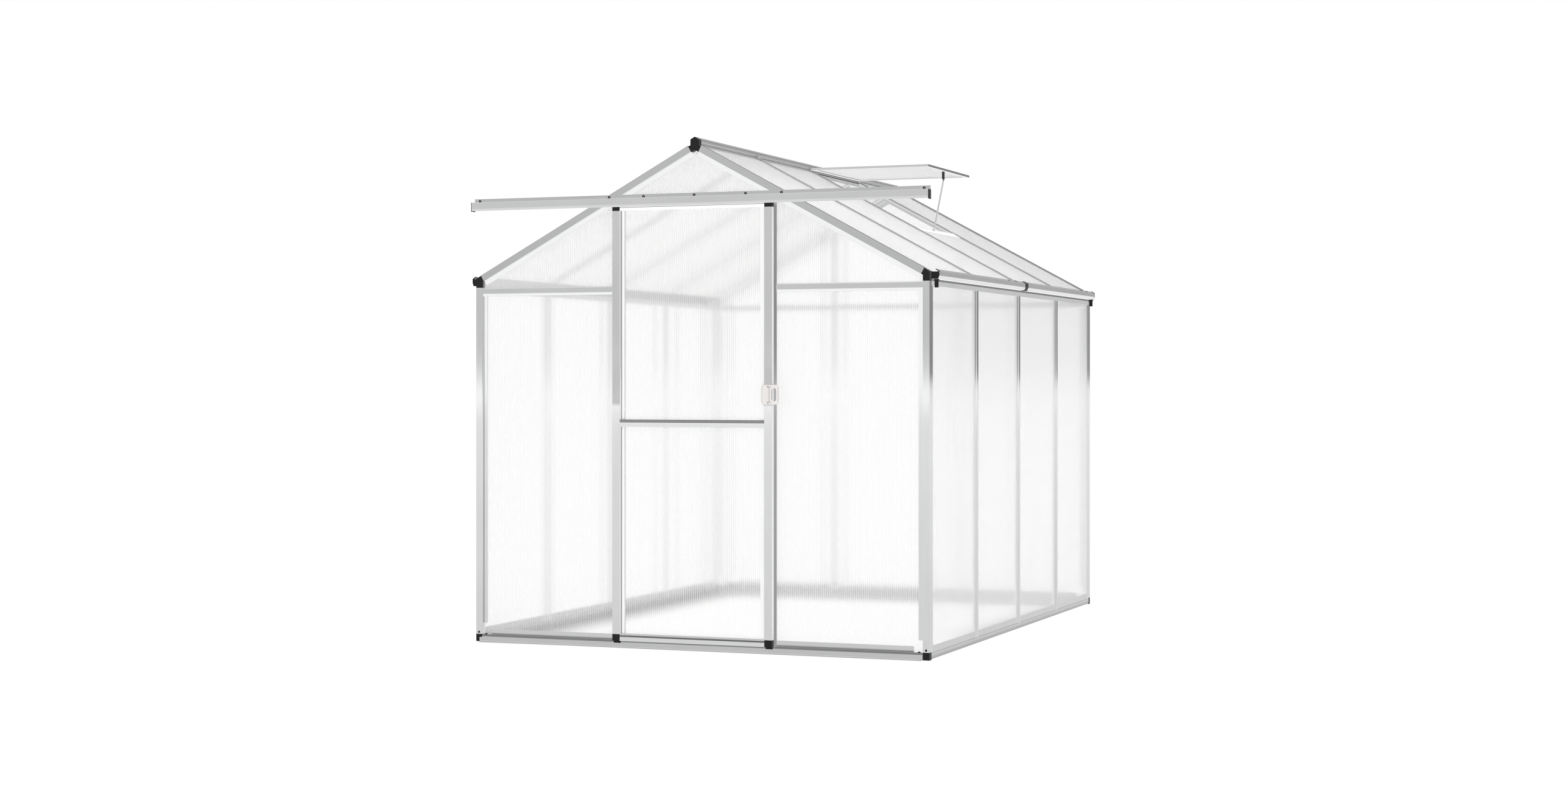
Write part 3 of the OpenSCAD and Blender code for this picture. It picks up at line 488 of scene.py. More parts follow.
def finish(name):
    """A finish made once and then shared."""
    found = bpy.data.materials.get(name)
    if found:
        return found
    plastic = bpy.context.scene.greenhouse_plastic
    if name == "black_moulding":
        return moulded_plastic(name, plastic.moulding, plastic.roughness)
    if name == "pale_paint":
        return painted_metal(name, plastic.handle)
    if name == "zinc":
        return zinc_metal(name)
    raise KeyError(name)


# ---------- shapes ----------


def add_piece(name, mesh, finish_made, body):
    """Puts a finished mesh in the scene and ties it to its body."""
    mesh.materials.clear()
    mesh.materials.append(finish_made)
    for polygon in mesh.polygons:
        polygon.material_index = 0
    piece = bpy.data.objects.new(name, mesh)
    bpy.context.scene.collection.objects.link(piece)
    piece.visible_glossy = False
    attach(piece, body)
    return piece


def turned_shape(name, profile, sides):
    """Closed shape turned about z from (radius, height) points, first and last on the axis."""
    shape = bmesh.new()
    rings = []
    for radius, height in profile:
        if radius == 0.0:
            rings.append([shape.verts.new((0.0, 0.0, height))])
        else:
            turns = [2 * math.pi * i / sides for i in range(sides)]
            rings.append([shape.verts.new((radius * math.cos(t), radius * math.sin(t), height)) for t in turns])
    for low, high in zip(rings, rings[1:]):
        for i in range(sides):
            j = (i + 1) % sides
            corners = [low[i % len(low)], low[j % len(low)], high[j % len(high)], high[i % len(high)]]
            unique = list(dict.fromkeys(corners))
            if len(unique) > 2:
                shape.faces.new(unique)
    bmesh.ops.recalc_face_normals(shape, faces=shape.faces)
    mesh = bpy.data.meshes.new(name)
    shape.to_mesh(mesh)
    shape.free()
    made = bpy.data.objects.new(name, mesh)
    bpy.context.scene.collection.objects.link(made)
    return made


def dome(radius, height):
    return (
        (0.0, 0.0),
        (radius, 0.0),
        (radius, height * 0.35),
        (radius * 0.93, height * 0.62),
        (radius * 0.75, height * 0.85),
        (radius * 0.45, height * 0.97),
        (0.0, height),
    )


def disc(radius, height):
    edge = min(radius, height) * 0.2
    return ((0.0, 0.0), (radius, 0.0), (radius, height - edge), (radius - edge, height), (0.0, height))


def spread_tree():
    """Geometry Nodes that set one shape on every point, turned as the point says."""
    found = bpy.data.node_groups.get("set_on_points")
    if found:
        return found
    tree = bpy.data.node_groups.new("set_on_points", "GeometryNodeTree")
    face = tree.interface
    face.new_socket("Points", in_out="INPUT", socket_type="NodeSocketGeometry")
    face.new_socket("Shape", in_out="INPUT", socket_type="NodeSocketObject")
    face.new_socket("Size", in_out="INPUT", socket_type="NodeSocketFloat").default_value = 1.0
    face.new_socket("Twist", in_out="INPUT", socket_type="NodeSocketFloat").default_value = 0.0
    face.new_socket("Seed", in_out="INPUT", socket_type="NodeSocketInt").default_value = 1
    face.new_socket("Finish", in_out="INPUT", socket_type="NodeSocketMaterial")
    face.new_socket("Pieces", in_out="OUTPUT", socket_type="NodeSocketGeometry")
    g = Graph(tree)
    given = g.node("NodeGroupInput").outputs
    shape = g.node("GeometryNodeObjectInfo", {"transform_space": "ORIGINAL"}, {"Object": given["Shape"]})
    facing = g.node("GeometryNodeInputNamedAttribute", {"data_type": "FLOAT_VECTOR"}, {"Name": "facing"})
    twist = g.node("FunctionNodeRandomValue", {"data_type": "FLOAT"}, {"Seed": given["Seed"]})
    for socket in twist.inputs:
        if socket.type == "VALUE" and socket.name == "Max":
            tree.links.new(given["Twist"], socket)
    amount = next(socket for socket in twist.outputs if socket.type == "VALUE")
    spin = g.node("ShaderNodeCombineXYZ", values={2: amount})
    turn = g.node("FunctionNodeEulerToRotation", values={0: facing.outputs["Attribute"]})
    extra = g.node("FunctionNodeEulerToRotation", values={0: spin.outputs[0]})
    both = g.node(
        "FunctionNodeRotateRotation", {"rotation_space": "LOCAL"}, {0: turn.outputs[0], 1: extra.outputs[0]}
    )
    placed = g.node(
        "GeometryNodeInstanceOnPoints",
        values={
            "Points": given["Points"],
            "Instance": shape.outputs["Geometry"],
            "Rotation": both.outputs[0],
            "Scale": given["Size"],
        },
    )
    real = g.node("GeometryNodeRealizeInstances", values={"Geometry": placed.outputs[0]})
    painted = g.node("GeometryNodeSetMaterial", values={"Geometry": real.outputs[0], "Material": given["Finish"]})
    g.node("NodeGroupOutput", values={"Pieces": painted.outputs[0]})
    return tree


# Euler turns that lay a shape's +z along a direction
OUT = {
    "front": (math.pi / 2, 0.0, 0.0),
    "rear": (-math.pi / 2, 0.0, 0.0),
    "right": (0.0, math.pi / 2, 0.0),
    "left": (0.0, -math.pi / 2, 0.0),
    "up": (0.0, 0.0, 0.0),
    "down": (math.pi, 0.0, 0.0),
    "right_slope": (0.0, PITCH, 0.0),
    "left_slope": (0.0, -PITCH, 0.0),
    "under_right": (0.0, PITCH + math.pi, 0.0),
    "under_left": (0.0, math.pi - PITCH, 0.0),
}


def spread(name, shape, places, finish_made, body=BODY, twist=0.0):
    """Sets a shape on each (place, facing) and turns the result into one plain mesh."""
    points = bpy.data.meshes.new(name + "_points")
    points.from_pydata([tuple(place) for place, _ in places], [], [])
    facing = points.attributes.new("facing", "FLOAT_VECTOR", "POINT")
    for i, (_, side) in enumerate(places):
        facing.data[i].vector = OUT[side]
    holder = bpy.data.objects.new(name + "_points", points)
    bpy.context.scene.collection.objects.link(holder)
    setter = holder.modifiers.new("set", "NODES")
    setter.node_group = spread_tree()
    given = {
        "Shape": shape,
        "Size": 1.0,
        "Twist": twist,
        "Seed": 7,
        "Finish": finish_made,
    }
    for item in setter.node_group.interface.items_tree:
        if item.in_out == "INPUT" and item.name in given:
            setter[item.identifier] = given[item.name]
    bpy.context.view_layer.update()
    mesh = bpy.data.meshes.new_from_object(holder.evaluated_get(bpy.context.evaluated_depsgraph_get()))
    if not mesh.polygons:
        raise RuntimeError(name + " came out empty")
    mesh.name = name
    for left_over in list(mesh.attributes):
        if left_over.name == "facing":
            mesh.attributes.remove(left_over)
    bpy.data.objects.remove(holder)
    bpy.data.objects.remove(shape)
    return add_piece(name, mesh, finish_made, body)


def bent_strip(name, outline, width, places, finish_made, body=BODY, edge=0.0004):
    """A closed (across, up) outline made width long, set at each Matrix in places, with softened edges."""
    shape = bmesh.new()
    for place in places:
        ends = []
        for along in (-width / 2, width / 2):
            ends.append([shape.verts.new(place @ Vector((across, along, up))) for across, up in outline])
        shape.faces.new(ends[0])
        shape.faces.new(list(reversed(ends[1])))
        for i in range(len(outline)):
            j = (i + 1) % len(outline)
            shape.faces.new((ends[0][i], ends[1][i], ends[1][j], ends[0][j]))
    bmesh.ops.recalc_face_normals(shape, faces=shape.faces)
    if edge:
        bmesh.ops.bevel(
            shape, geom=list(shape.edges), offset=edge, offset_type="OFFSET", segments=2, profile=0.6, affect="EDGES"
        )
    mesh = bpy.data.meshes.new(name)
    shape.to_mesh(mesh)
    shape.free()
    return add_piece(name, mesh, finish_made, body)


def slope_place(side, down, above):
    """A place on a roof slope: side is 1 right or -1 left, down the slope from the apex, above its top plane."""
    x = down * math.cos(PITCH) + above * math.sin(PITCH)
    z = APEX - down * math.sin(PITCH) + above * math.cos(PITCH)
    return side * x, z


# ---------- operators ----------


class GREENHOUSE_OT_frame_finish(bpy.types.Operator):
    """Gives the bars, rails, track and gutters their drawn aluminium, with painted shade and painted reflections on
    many of them
    """

    bl_idname = "greenhouse.frame_finish"
    bl_label = "Frame finish"

    def execute(self, context):
        post_edge = SIDE - 0.0265
        dress(
            drawn_metal(
                "post_metal",
                "z",
                lips=lambda x, y, z: abs(x).step(post_edge, post_edge - EDGE),
                # painted shade: a strip just inside the left post's inner edge is painted darker
                level=lambda x, y, z: 1.0
                - x.step(-post_edge, EDGE - post_edge) * x.step(0.0080 - post_edge, 0.0072 - post_edge) * 0.42,
            ),
            "corner_posts_front",
        )
        dress(
            drawn_metal("upright_metal", "z"), "corner_posts_rear", "side_bars_left", "side_bars_right", "rear_studs"
        )
        dress(
            # painted shade: the front studs are painted half as bright below the door track
            drawn_metal("stud_metal", "z", level=lambda x, y, z: 0.5 + (0.0 - z).step(-1.70, -1.75) * 0.5),
            "front_studs",
        )
        dress(
            drawn_metal(
                "rafter_metal",
                "s",
                lips=lambda x, y, z: below_roof(x, z).step(0.0262, 0.0266),
                # painted reflection: all but the deep lip are painted a little darker, and the top faces that look
                # forward a flat grey
                level=lambda x, y, z: 1.0 - below_roof(x, z).step(0.0266, 0.0262) * 0.15,
                dull=lambda x, y, z, nx, ny: (below_roof(x, z).step(0.0060, 0.0050) * ny.step(-0.9, -0.6), 0.40),
            ),
            "rafters_front",
        )
        dress(
            # painted reflection: the rear rafters' top faces are painted a flat grey
            drawn_metal("slope_metal", "s", dull=lambda x, y, z, nx, ny: (below_roof(x, z).step(0.006, 0.005), 0.40)),
            "rafters_rear",
        )
        dress(drawn_metal("bar_metal", "s", dull=self.bar_painted_reflection_and_shade), "roof_bars_left", "roof_bars_right")
        transom_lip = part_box("gable_transoms")[0][2] + 0.0098
        dress(
            drawn_metal("transom_metal", "x", lips=lambda x, y, z: z.step(transom_lip, transom_lip - EDGE)),
            "gable_transoms",
        )
        dress(drawn_metal("cross_metal", "x"), "door_header", "vent_frame")
        dress(
            # painted shade: the rear rail's inner face is painted a flat darker grey
            drawn_metal("rear_rail_metal", "x", dull=lambda x, y, z, nx, ny: (ny.step(-0.2, -0.8), 0.50)),
            "base_rail_rear",
        )
        dress(
            # painted shade: the front rail is painted darker below its lip
            drawn_metal("front_rail_metal", "x", level=lambda x, y, z: 0.30 + z.step(0.029, 0.038) * 0.62),
            "base_rail_front",
        )
        dress(
            # painted shade: the floor guide is painted darker, most of all along its bottom edge
            drawn_metal("guide_metal", "x", level=lambda x, y, z: 0.50 + z.step(0.0, 0.006) * 0.32),
            "floor_guide",
        )
        dress(drawn_metal("track_metal", "x", level=self.track_painted_shade_and_highlight), "door_track")
        dress(drawn_metal("door_rail_metal", "x", level=self.rail_painted_shade_and_reflection, dull=self.top_rail_painted_reflection), "door_rails")
        dress(drawn_metal("long_metal", "y"), "vent_sill")
        dress(drawn_metal("ridge_metal", "y", dull=self.ridge_painted_reflection_bands), "ridge_beam")
        eaves_lip = POST_TOP + 0.0005
        dress(
            drawn_metal(
                "eaves_metal", "y", lips=lambda x, y, z: z.step(eaves_lip, eaves_lip - EDGE), turn=(0.0, -0.5)
            ),
            "eaves_beams",
        )
        dress(drawn_metal("gutter_metal", "y", dull=self.gutter_painted_reflection), "gutter_left", "gutter_right")
        dress(
            drawn_metal("side_rail_metal", "y", level=self.sill_painted_shade, dull=self.sill_inside, painted_underside_reflection=False),
            "side_base_rails",
        )
        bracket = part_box("vent_stay")[1][2] - 0.038
        dress(
            drawn_metal("stay_metal", "z", black=lambda x, y, z: z.step(bracket, bracket + 0.0005)),
            "vent_stay",
        )
        stile_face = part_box("door_stiles")[0][1]
        dress(
            drawn_metal(
                "stile_metal",
                "z",
                # painted reflection: a band of the stiles' front faces, from about 0.95 to 1.17 up, is painted darker
                level=lambda x, y, z: 1.0
                - y.step(stile_face + 0.0035, stile_face + 0.0025) * z.step(1.17, 1.0) * z.step(0.938, 0.958) * 0.38,
                dull=self.stile_painted_light_and_shade,
            ),
            "door_stiles",
        )
        return {"FINISHED"}

    @staticmethod
    def bar_painted_reflection_and_shade(x, y, z, nx, ny):
        """On the upper side the roof bars' crowns are painted a flat grey, as painted reflection, and their lips as
        pale as the sheets, painted darker towards the rear as painted shade.
        """
        away = abs(y - BAR_ROWS[0])
        for row in BAR_ROWS[1:]:
            away = away.smallest(abs(y - row))
        lip = away.step(0.0104, 0.0108)
        return below_roof(x, z).step(0.006, 0.005), 0.42 + lip * (0.36 - y.step(-0.9, 1.3) * 0.16)

    @staticmethod
    def track_painted_shade_and_highlight(x, y, z):
        """The strip above the channel is painted darker, as painted shade, with a painted highlight line between them.
        """
        seam = TRACK_TOP - 0.015
        line = abs(z - seam).step(0.0016, 0.0008)
        return 1.0 - z.step(seam, seam + 0.0005) * 0.16 + line * 0.22

    @staticmethod
    def rail_painted_shade_and_reflection(x, y, z):
        """The lips above the middle and lower rails are painted dark, as painted shade, and the top rail is painted
        brighter, as painted reflection.
        """
        middle = z.step(0.8782, 0.8786) * z.step(1.0, 0.9)
        lower = z.step(0.0433, 0.0437) * z.step(0.0505, 0.0495)
        upper = z.step(0.0495, 0.0505) * z.step(0.10, 0.09)
        return 1.04 - middle * 0.68 - lower * 0.80 - upper * 0.18 + z.step(1.60, 1.65) * 0.2

    @staticmethod
    def top_rail_painted_reflection(x, y, z, nx, ny):
        """The door's top rail is painted pale, as painted reflection, with a darker line under its upper edge."""
        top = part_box("door_rails")[1][2]
        seam = abs(z - (top - 0.0040)).step(0.0016, 0.0008)
        return z.step(1.60, 1.65), 0.92 - seam * 0.62

    @staticmethod
    def ridge_painted_reflection_bands(x, y, z, nx, ny):
        """The ridge is painted a flat grey in lighter and darker bands, one above the other, as painted reflection."""
        down = RIDGE_TOP - z
        light = 0.35 + down.step(0.0012, 0.0018) * 0.13 - down.step(0.0088, 0.0096) * 0.15
        return down.step(-0.01, -0.005), light + down.step(0.0135, 0.0145) * 0.25

    @staticmethod
    def sill_painted_shade(x, y, z):
        """Below their lips the side rails are round; painted shade gives a dark line under the lips, then light fading
        to dark towards the floor.
        """
        seam = z.step(0.0236, 0.0246) * z.step(0.0278, 0.0268)
        return 0.44 + z.step(0.001, 0.024) * 0.44 + z.step(0.0268, 0.0278) * 0.05 - seam * 0.30

    @staticmethod
    def sill_inside(x, y, z, nx, ny):
        """The side rails' inner faces stand in the walls' own shade."""
        inward = (x * nx).step(-0.2, -0.8)
        flange = z.step(0.0040, 0.0030) * (SIDE - abs(x)).step(0.0150, 0.0160)
        return inward.largest(flange), 0.56 - flange * 0.30

    @staticmethod
    def gutter_painted_reflection(x, y, z, nx, ny):
        """The rolled upper lip and the outer face are painted a flat grey, as painted reflection, the lip a little
        lighter.
        """
        edge = GUTTER_TOP - 0.0092
        return z.step(GUTTER_TOP - 0.0246, GUTTER_TOP - 0.0242), 0.405 + z.step(edge, edge + 0.0008) * 0.08

    @staticmethod
    def stile_painted_light_and_shade(x, y, z, nx, ny):
        """The stiles' inner lips and their sides are painted as pale as the sheet, as painted light, and a strip on the
        left stile is painted darker, as painted shade.
        """
        low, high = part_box("door_stiles")
        right_lip = x.step(0.20, 0.21) * x.step(high[0] - 0.0317, high[0] - 0.0321)
        left_lip = x.step(-0.20, -0.21) * x.step(low[0] + 0.0395, low[0] + 0.0399)
        side = nx.step(0.5, 0.9)
        strip = x.step(low[0] + 0.0352, low[0] + 0.0357) * x.step(low[0] + 0.0402, low[0] + 0.0397)
        shaded = x.step(-0.20, -0.21) * strip
        return (right_lip + left_lip + side + shaded).clamp(), 0.965 - shaded * 0.60


class GREENHOUSE_OT_sheet_finish(bpy.types.Operator):
    """Gives the twin-wall sheets their skins and ribs"""

    bl_idname = "greenhouse.sheet_finish"
    bl_label = "Sheet finish"

    def execute(self, context):
        sheet = context.scene.greenhouse_sheet
        dress(
            ribbed_sheet("gable_sheet", "x", sheet.gable, sheet.clearness),
            "front_sheets",
            "front_apex_sheet",
            "rear_sheets",
            "door_sheets",
        )
        dress(ribbed_sheet("side_sheet", "y", sheet.side, sheet.clearness), "side_sheets_left", "side_sheets_right")
        dress(
            ribbed_sheet("roof_sheet", "y", sheet.roof, sheet.roof_clearness, self.roof_painted_shade),
            "roof_sheets_left",
            "roof_sheets_right",
            "vent_sheet",
        )
        return {"FINISHED"}

    @staticmethod
    def roof_painted_shade(x, y, z, nz):
        """Painted shade: from above a roof sheet is painted greyer beside the ridge and towards the rear, and from
        below it is painted lighter, back near white.
        """
        ridge = 1.0 - z.step(1.74, 1.98) * (1.0 - y.step(0.5, 1.0)) * 0.34
        above = ridge * (1.0 - y.step(-0.9, 1.3) * 0.24) * 0.97
        below = nz.step(0.2, -0.2)
        return above * (1.0 - below) + below * 1.1


class GREENHOUSE_OT_moulding_finish(bpy.types.Operator):
    """Gives the corner pieces, caps, rollers and handle their plastic and paint"""

    bl_idname = "greenhouse.moulding_finish"
    bl_label = "Moulding finish"

    def execute(self, context):
        dress(
            finish("black_moulding"),
            "base_corners",
            "eaves_corners",
            "gutter_fittings",
            "gutter_outlets",
            "ridge_end_caps",
            "track_end_plates",
            "door_end_caps",
            "door_rollers",
        )
        dress(finish("pale_paint"), "handle_plate", "handle_pull")
        return {"FINISHED"}


class GREENHOUSE_OT_track_bolts(bpy.types.Operator):
    """Adds the capped bolts along the door track"""

    bl_idname = "greenhouse.track_bolts"
    bl_label = "Track bolts"

    def execute(self, context):
        radius = context.scene.greenhouse_fastenings.bolt_head / 2
        face, height = FRONT - 0.0030, TRACK_TOP - 0.0088
        places = [((x, face, height), "front") for x in TRACK_BOLTS]
        rim = (
            (0.0, 0.0),
            (radius, 0.0),
            (radius, 0.0020),
            (radius * 0.9, 0.0030),
            (radius * 0.6, 0.0032),
            (radius * 0.45, 0.0012),
            (0.0, 0.0012),
        )
        spread("track_bolt_caps", turned_shape("cap", rim, 28), places, finish("black_moulding"))
        centres = [((x, face - 0.0012, height), "front") for x in TRACK_BOLTS]
        spread(
            "track_bolt_centres",
            turned_shape("centre", disc(radius * 0.30, 0.0006), 6),
            centres,
            finish("zinc"),
            twist=1.0,
        )
        return {"FINISHED"}


class GREENHOUSE_OT_foot_screws(bpy.types.Operator):
    """Adds the screws in the posts' feet and the bolts at the ends of the base rails"""

    bl_idname = "greenhouse.foot_screws"
    bl_label = "Foot screws"

    def execute(self, context):
        sizes = context.scene.greenhouse_fastenings
        across = SIDE - 0.0132
        places = []
        screw_height = 0.0372
        for x in (-across, across):
            places.append(((x, FRONT, screw_height), "front"))
            places.append(((x, REAR, screw_height), "rear"))
        screw = turned_shape("screw", dome(sizes.post_screw / 2, 0.0026), 24)
        spread("post_screws", screw, places, finish("black_moulding"))
        heads = []
        for x in (-0.908, 0.908):
            heads.append(((x, FRONT + 0.0058, 0.0280), "up"))
            heads.append(((x, REAR - 0.0058, 0.0280), "up"))
        head = turned_shape("head", dome(sizes.sill_bolt / 2, 0.0040), 24)
        spread("sill_bolts", head, heads, finish("black_moulding"))
        return {"FINISHED"}


class GREENHOUSE_OT_inside_nuts(bpy.types.Operator):
    """Adds the nuts and washers that hold the bars from inside"""

    bl_idname = "greenhouse.inside_nuts"
    bl_label = "Inside nuts"

    def execute(self, context):
        radius = context.scene.greenhouse_fastenings.nut / 2
        inner_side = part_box("side_bars_right")[0][0] + 0.0122
        inner_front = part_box("front_studs")[1][1] - 0.0122
        inner_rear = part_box("rear_studs")[0][1] + 0.0122
        places = []
        for y in BAR_ROWS:
            for height in (0.040, POST_TOP - 0.030):
                for along in (-0.008, 0.008):
                    places.append(((inner_side, y + along, height), "left"))
                    places.append(((-inner_side, y + along, height), "right"))
        for x in (-STUD, STUD):
            for along in (-0.008, 0.008):
                places.append(((x + along, inner_front, 0.056), "rear"))
                places.append(((x + along, inner_rear, 0.056), "front"))
        spread(
            "inside_nuts",
            turned_shape("nut", disc(radius, 0.0048), 6),
            places,
            finish("zinc"),
            twist=1.0,
        )
        washer = turned_shape("washer", disc(radius * 1.25, 0.0010), 24)
        spread("inside_washers", washer, places, finish("zinc"))
        return {"FINISHED"}


class GREENHOUSE_OT_ridge_brackets(bpy.types.Operator):
    """Adds the small brackets and screws at the heads of the roof bars"""

    bl_idname = "greenhouse.ridge_brackets"
    bl_label = "Ridge brackets"

    def execute(self, context):
        reach = context.scene.greenhouse_fastenings.bracket
        foot, wall, thick = reach * 0.75, 0.0100, 0.0016
        outline = (
            (0.0, 0.0),
            (foot, 0.0),
            (foot, thick),
            (thick, thick),
            (thick, wall),
            (0.0, wall),
        )
        brackets, screws = [], []
        start = 0.0218
        for y in BAR_ROWS:
            for side in (1, -1):
                x, z = slope_place(side, start, 0.0008)
                turn = Matrix.Rotation(PITCH, 4, "Y")
                if side < 0:
                    turn = Matrix.Rotation(math.pi, 4, "Z") @ turn
                brackets.append(Matrix.Translation((x, y - 0.013, z)) @ turn)
                sx, sz = slope_place(side, start + foot * 0.62, 0.0008 + thick)
                screws.append(((sx, y - 0.013, sz), "right_slope" if side > 0 else "left_slope"))
        bent_strip("ridge_brackets", outline, 0.014, brackets, finish("zinc"))
        screw = turned_shape("screw", dome(0.0036, 0.0030), 20)
        spread("ridge_screws", screw, screws, finish("zinc"))
        return {"FINISHED"}


class GREENHOUSE_OT_gutter_clips(bpy.types.Operator):
    """Adds the plugs and clips on the gutters' upper lips"""

    bl_idname = "greenhouse.gutter_clips"
    bl_label = "Gutter clips"

    def execute(self, context):
        clip = context.scene.greenhouse_fastenings.clip
        lean = math.atan2(9.0, 14.0)
        plugs, clips = [], []
        joint = FRONT + 1.251
        for side in (1, -1):
            for end in (joint, REAR - 0.006):
                x, z = GUTTER_OUT - 0.0085, GUTTER_TOP - 0.0036
                plugs.append(((side * x, end - 0.245, z), "right_slope" if side > 0 else "left_slope"))
                turn = Matrix.Rotation(lean if side > 0 else -lean, 4, "Y")
                clips.append(Matrix.Translation((side * x, end - 0.143, z)) @ turn)
        spread("gutter_plugs", turned_shape("plug", dome(0.0042, 0.0022), 20), plugs, finish("black_moulding"))
        outline = ((-0.0035, 0.0), (0.0035, 0.0), (0.0028, 0.0018), (-0.0028, 0.0018))
        bent_strip("gutter_clips", outline, clip, clips, finish("black_moulding"))
        right = Matrix.Translation((0.0, joint, 0.0))
        bent_strip(
            "gutter_straps",
            self.strap_outline(),
            0.040,
            [right, right @ Matrix.Scale(-1, 4, (1, 0, 0))],
            finish("black_moulding"),
            edge=0.0002,
        )
        return {"FINISHED"}

    @staticmethod
    def strap_outline():
        """A band laid round the outside of the gutter, from its lip to its bottom."""
        low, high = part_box("gutter_right")
        bend = [
            (high[0] - 0.0140, high[2]),
            (high[0], high[2] - 0.0090),
            (high[0], low[2] + 0.0120),
            (high[0] - 0.0050, low[2]),
            (high[0] - 0.0180, low[2]),
        ]
        outer = [(x + 0.0020, z + 0.0018) for x, z in bend[:2]]
        outer += [(bend[2][0] + 0.0020, bend[2][1] - 0.0005), (bend[3][0] + 0.0010, bend[3][1] - 0.0020)]
        outer += [(bend[4][0], bend[4][1] - 0.0020)]
        return [(x + 0.0001, z) for x, z in outer] + [(x + 0.0001, z) for x, z in reversed(bend)]


class GREENHOUSE_OT_handle_rivets(bpy.types.Operator):
    """Adds the rivets that hold the handle to the door"""

    bl_idname = "greenhouse.handle_rivets"
    bl_label = "Handle rivets"

    def execute(self, context):
        radius = context.scene.greenhouse_fastenings.rivet / 2
        low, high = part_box("handle_plate")
        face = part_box("door_stiles")[0][1] - 0.0026
        x = low[0] + 0.024
        places = [((x, face, z), "front") for z in (low[2] + 0.008, high[2] - 0.008)]
        rivet = turned_shape("rivet", dome(radius, 0.0012), 20)
        spread("handle_rivets", rivet, places, finish("zinc"), DOOR)
        return {"FINISHED"}


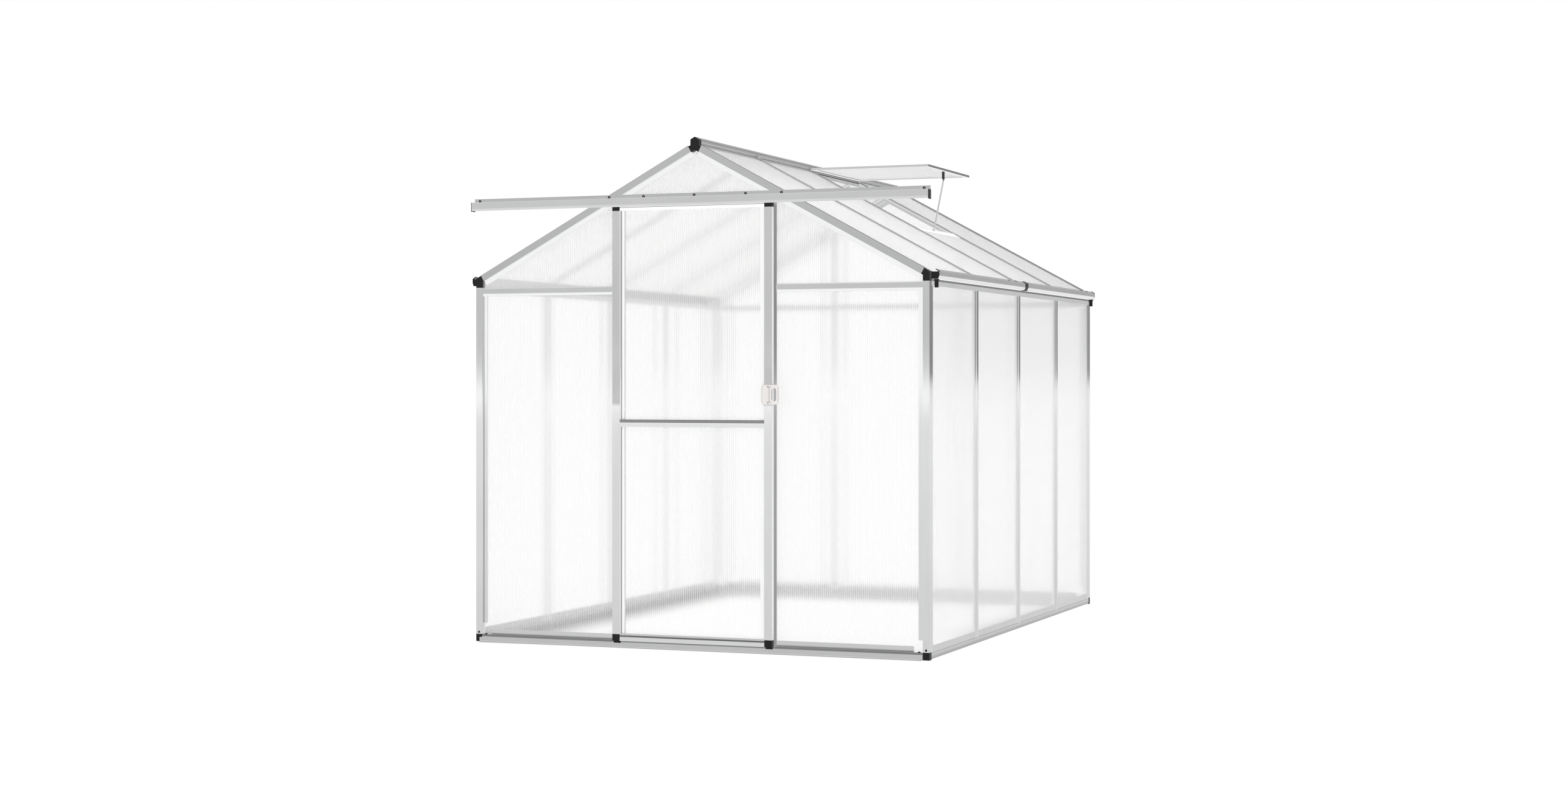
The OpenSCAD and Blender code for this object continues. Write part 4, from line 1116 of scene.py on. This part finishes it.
class GREENHOUSE_OT_stage(bpy.types.Operator):
    """Sets the pale floor, the soft surroundings and the camera"""

    bl_idname = "greenhouse.stage"
    bl_label = "Stage"

    def execute(self, context):
        studio = context.scene.greenhouse_studio
        self.lay_floor(studio)
        self.light(studio)
        self.aim(studio)
        return {"FINISHED"}

    def lay_floor(self, studio):
        shape = bmesh.new()
        bmesh.ops.create_circle(shape, cap_ends=True, segments=128, radius=studio.floor_radius)
        bmesh.ops.translate(shape, verts=shape.verts, vec=(0.0, 0.0, -0.0006))
        mesh = bpy.data.meshes.new("floor")
        shape.to_mesh(mesh)
        shape.free()
        floor = bpy.data.objects.new("floor", mesh)
        bpy.context.scene.collection.objects.link(floor)
        made, g = material("pale_floor")
        vector, x, y, z = g.place()
        away = ((x * x + y * y).root() / 0.5).largest(1.0)
        mirrored = away.log() * studio.floor_rise + studio.floor_near
        inside = (SIDE - abs(x)).smallest(REAR - abs(y + (REAR - BAY * 2)))
        inner = inside.step(0.010, 0.026)
        corner = (x * 0.55 - y).step(1.0, 0.5)
        shade = inner * (0.03 + inside.step(0.30, 0.0) * corner * studio.contact)
        level = self.by_ray(g, 1.0 - shade, mirrored, studio.floor_light - shade * 0.5)
        glow = g.node("ShaderNodeEmission", values={"Color": (1.0, 1.0, 1.0, 1.0), "Strength": level})
        g.node("ShaderNodeOutputMaterial", values={"Surface": glow.outputs[0]})
        mesh.materials.append(made)

    @staticmethod
    def by_ray(g, seen, mirrored, lighting):
        """One level where it is seen, straight or through a sheet, one in gloss and one as light."""
        path = g.node("ShaderNodeLightPath").outputs
        straight = Num(g, path["Is Camera Ray"]).largest(Num(g, path["Is Transmission Ray"]))
        gloss = Num(g, path["Is Glossy Ray"])
        return straight * seen + (1.0 - straight) * (gloss * mirrored + (1.0 - gloss) * lighting)

    def light(self, studio):
        world = bpy.data.worlds.new("soft_surroundings")
        bpy.context.scene.world = world
        world.use_nodes = True
        g = Graph(world.node_tree)
        x, y, height = g.split(g.node("ShaderNodeTexCoord").outputs["Generated"])
        reach = (x * x + y * y + 0.000001).root()

        def towards(degrees_left, wide, narrow):
            """1 near a heading, counted left from straight ahead of the building, 0 far from it."""
            turn = math.radians(degrees_left)
            near = (x * -math.sin(turn) + y * -math.cos(turn)) / reach
            return near.step(math.cos(math.radians(wide)), math.cos(math.radians(narrow)))

        place = (height + 0.02) / 0.12
        upper = ((0.0028, 0.82), (0.0068, 0.74), (0.011, 0.665), (0.018, 0.64), (0.05, 0.70), (0.0999, 0.72))
        strip = self.profile(g, place, ((-0.0025, 1.40), (-0.0012, 1.19), (0.0007, 0.96), *upper))
        lower = ((-0.0085, 0.62), (-0.0020, 0.64))
        plain = self.profile(g, place, (*lower, (0.018, 0.64), (0.05, 0.70), (0.0999, 0.72)))
        side = self.profile(g, place, ((-0.0030, 0.93), (-0.0015, 0.84), (0.0, 0.70), (0.0015, 0.52), (0.0030, 0.0)))
        lit = towards(37, 27, 22)
        ahead = strip * lit + plain * (1.0 - lit)
        behind = side.largest(0.70 - towards(190, 21, 3) * 0.43)
        rear = towards(180, 80, 60)
        bright = towards(51, 21, 16)
        low = ahead * (1.0 - rear) + behind * rear
        low = low * (1.0 - bright) + bright * 1.14
        high = height.step(0.11, 0.22)
        mirrored = low * (1.0 - high) + high * 1.15
        lighting = 1.0 - (x * 0.8 + height * 0.6).largest(0.0) * 0.14
        level = self.by_ray(g, 1.0, mirrored, lighting)
        soft = g.node("ShaderNodeBackground", values={"Color": (1.0, 1.0, 1.0, 1.0), "Strength": level})
        g.node("ShaderNodeOutputWorld", values={"Surface": soft.outputs[0]})

    @staticmethod
    def profile(g, place, stops):
        """Brightness against the sine of the height above the horizon."""
        scaled = [((at_height + 0.02) / 0.12, level / 2) for at_height, level in stops]
        ramp = g.node("ShaderNodeValToRGB", {"stops": scaled}, {0: place})
        return g.split(ramp.outputs[0])[0] * 2.0

    def aim(self, studio):
        scene = bpy.context.scene
        data = bpy.data.cameras.new("camera")
        data.lens = studio.lens
        data.sensor_width = 36.0
        data.shift_x = 0.0001
        data.shift_y = -0.0106
        data.clip_end = 500.0
        camera = bpy.data.objects.new("camera", data)
        camera.location = (3.6568, -9.7350, 1.0348)
        camera.rotation_euler = (math.pi / 2, 0.0, studio.heading)
        scene.collection.objects.link(camera)
        scene.camera = camera
        scene.view_settings.view_transform = "Standard"
        scene.view_settings.look = "None"


class GREENHOUSE_PT_panel(bpy.types.Panel):
    """Lists the greenhouse's pieces and settings"""

    bl_idname = "GREENHOUSE_PT_panel"
    bl_label = "Greenhouse"
    bl_space_type = "VIEW_3D"
    bl_region_type = "UI"
    bl_category = "Greenhouse"

    def draw(self, context):
        for group in GROUPS:
            settings = getattr(context.scene, group)
            box = self.layout.box()
            box.label(text=settings.bl_rna.description or group)
            for name in settings.__annotations__:
                box.prop(settings, name)
        for operator in OPERATORS:
            self.layout.operator(operator.bl_idname)


GROUPS = {
    "greenhouse_metal": MetalFinish,
    "greenhouse_sheet": SheetFinish,
    "greenhouse_plastic": PlasticFinish,
    "greenhouse_fastenings": Fastenings,
    "greenhouse_studio": Studio,
}
OPERATORS = (
    GREENHOUSE_OT_frame_finish,
    GREENHOUSE_OT_sheet_finish,
    GREENHOUSE_OT_moulding_finish,
    GREENHOUSE_OT_track_bolts,
    GREENHOUSE_OT_foot_screws,
    GREENHOUSE_OT_inside_nuts,
    GREENHOUSE_OT_ridge_brackets,
    GREENHOUSE_OT_gutter_clips,
    GREENHOUSE_OT_handle_rivets,
    GREENHOUSE_OT_stage,
)


def register():
    for made in (*GROUPS.values(), *OPERATORS, GREENHOUSE_PT_panel):
        bpy.utils.register_class(made)
    for name, group in GROUPS.items():
        setattr(bpy.types.Scene, name, bpy.props.PointerProperty(type=group))


def unregister():
    for name in GROUPS:
        delattr(bpy.types.Scene, name)
    for made in reversed((*GROUPS.values(), *OPERATORS, GREENHOUSE_PT_panel)):
        bpy.utils.unregister_class(made)


def main():
    register()
    for operator in OPERATORS:
        group, name = operator.bl_idname.split(".")
        getattr(getattr(bpy.ops, group), name)()


if __name__ == "__main__":
    main()
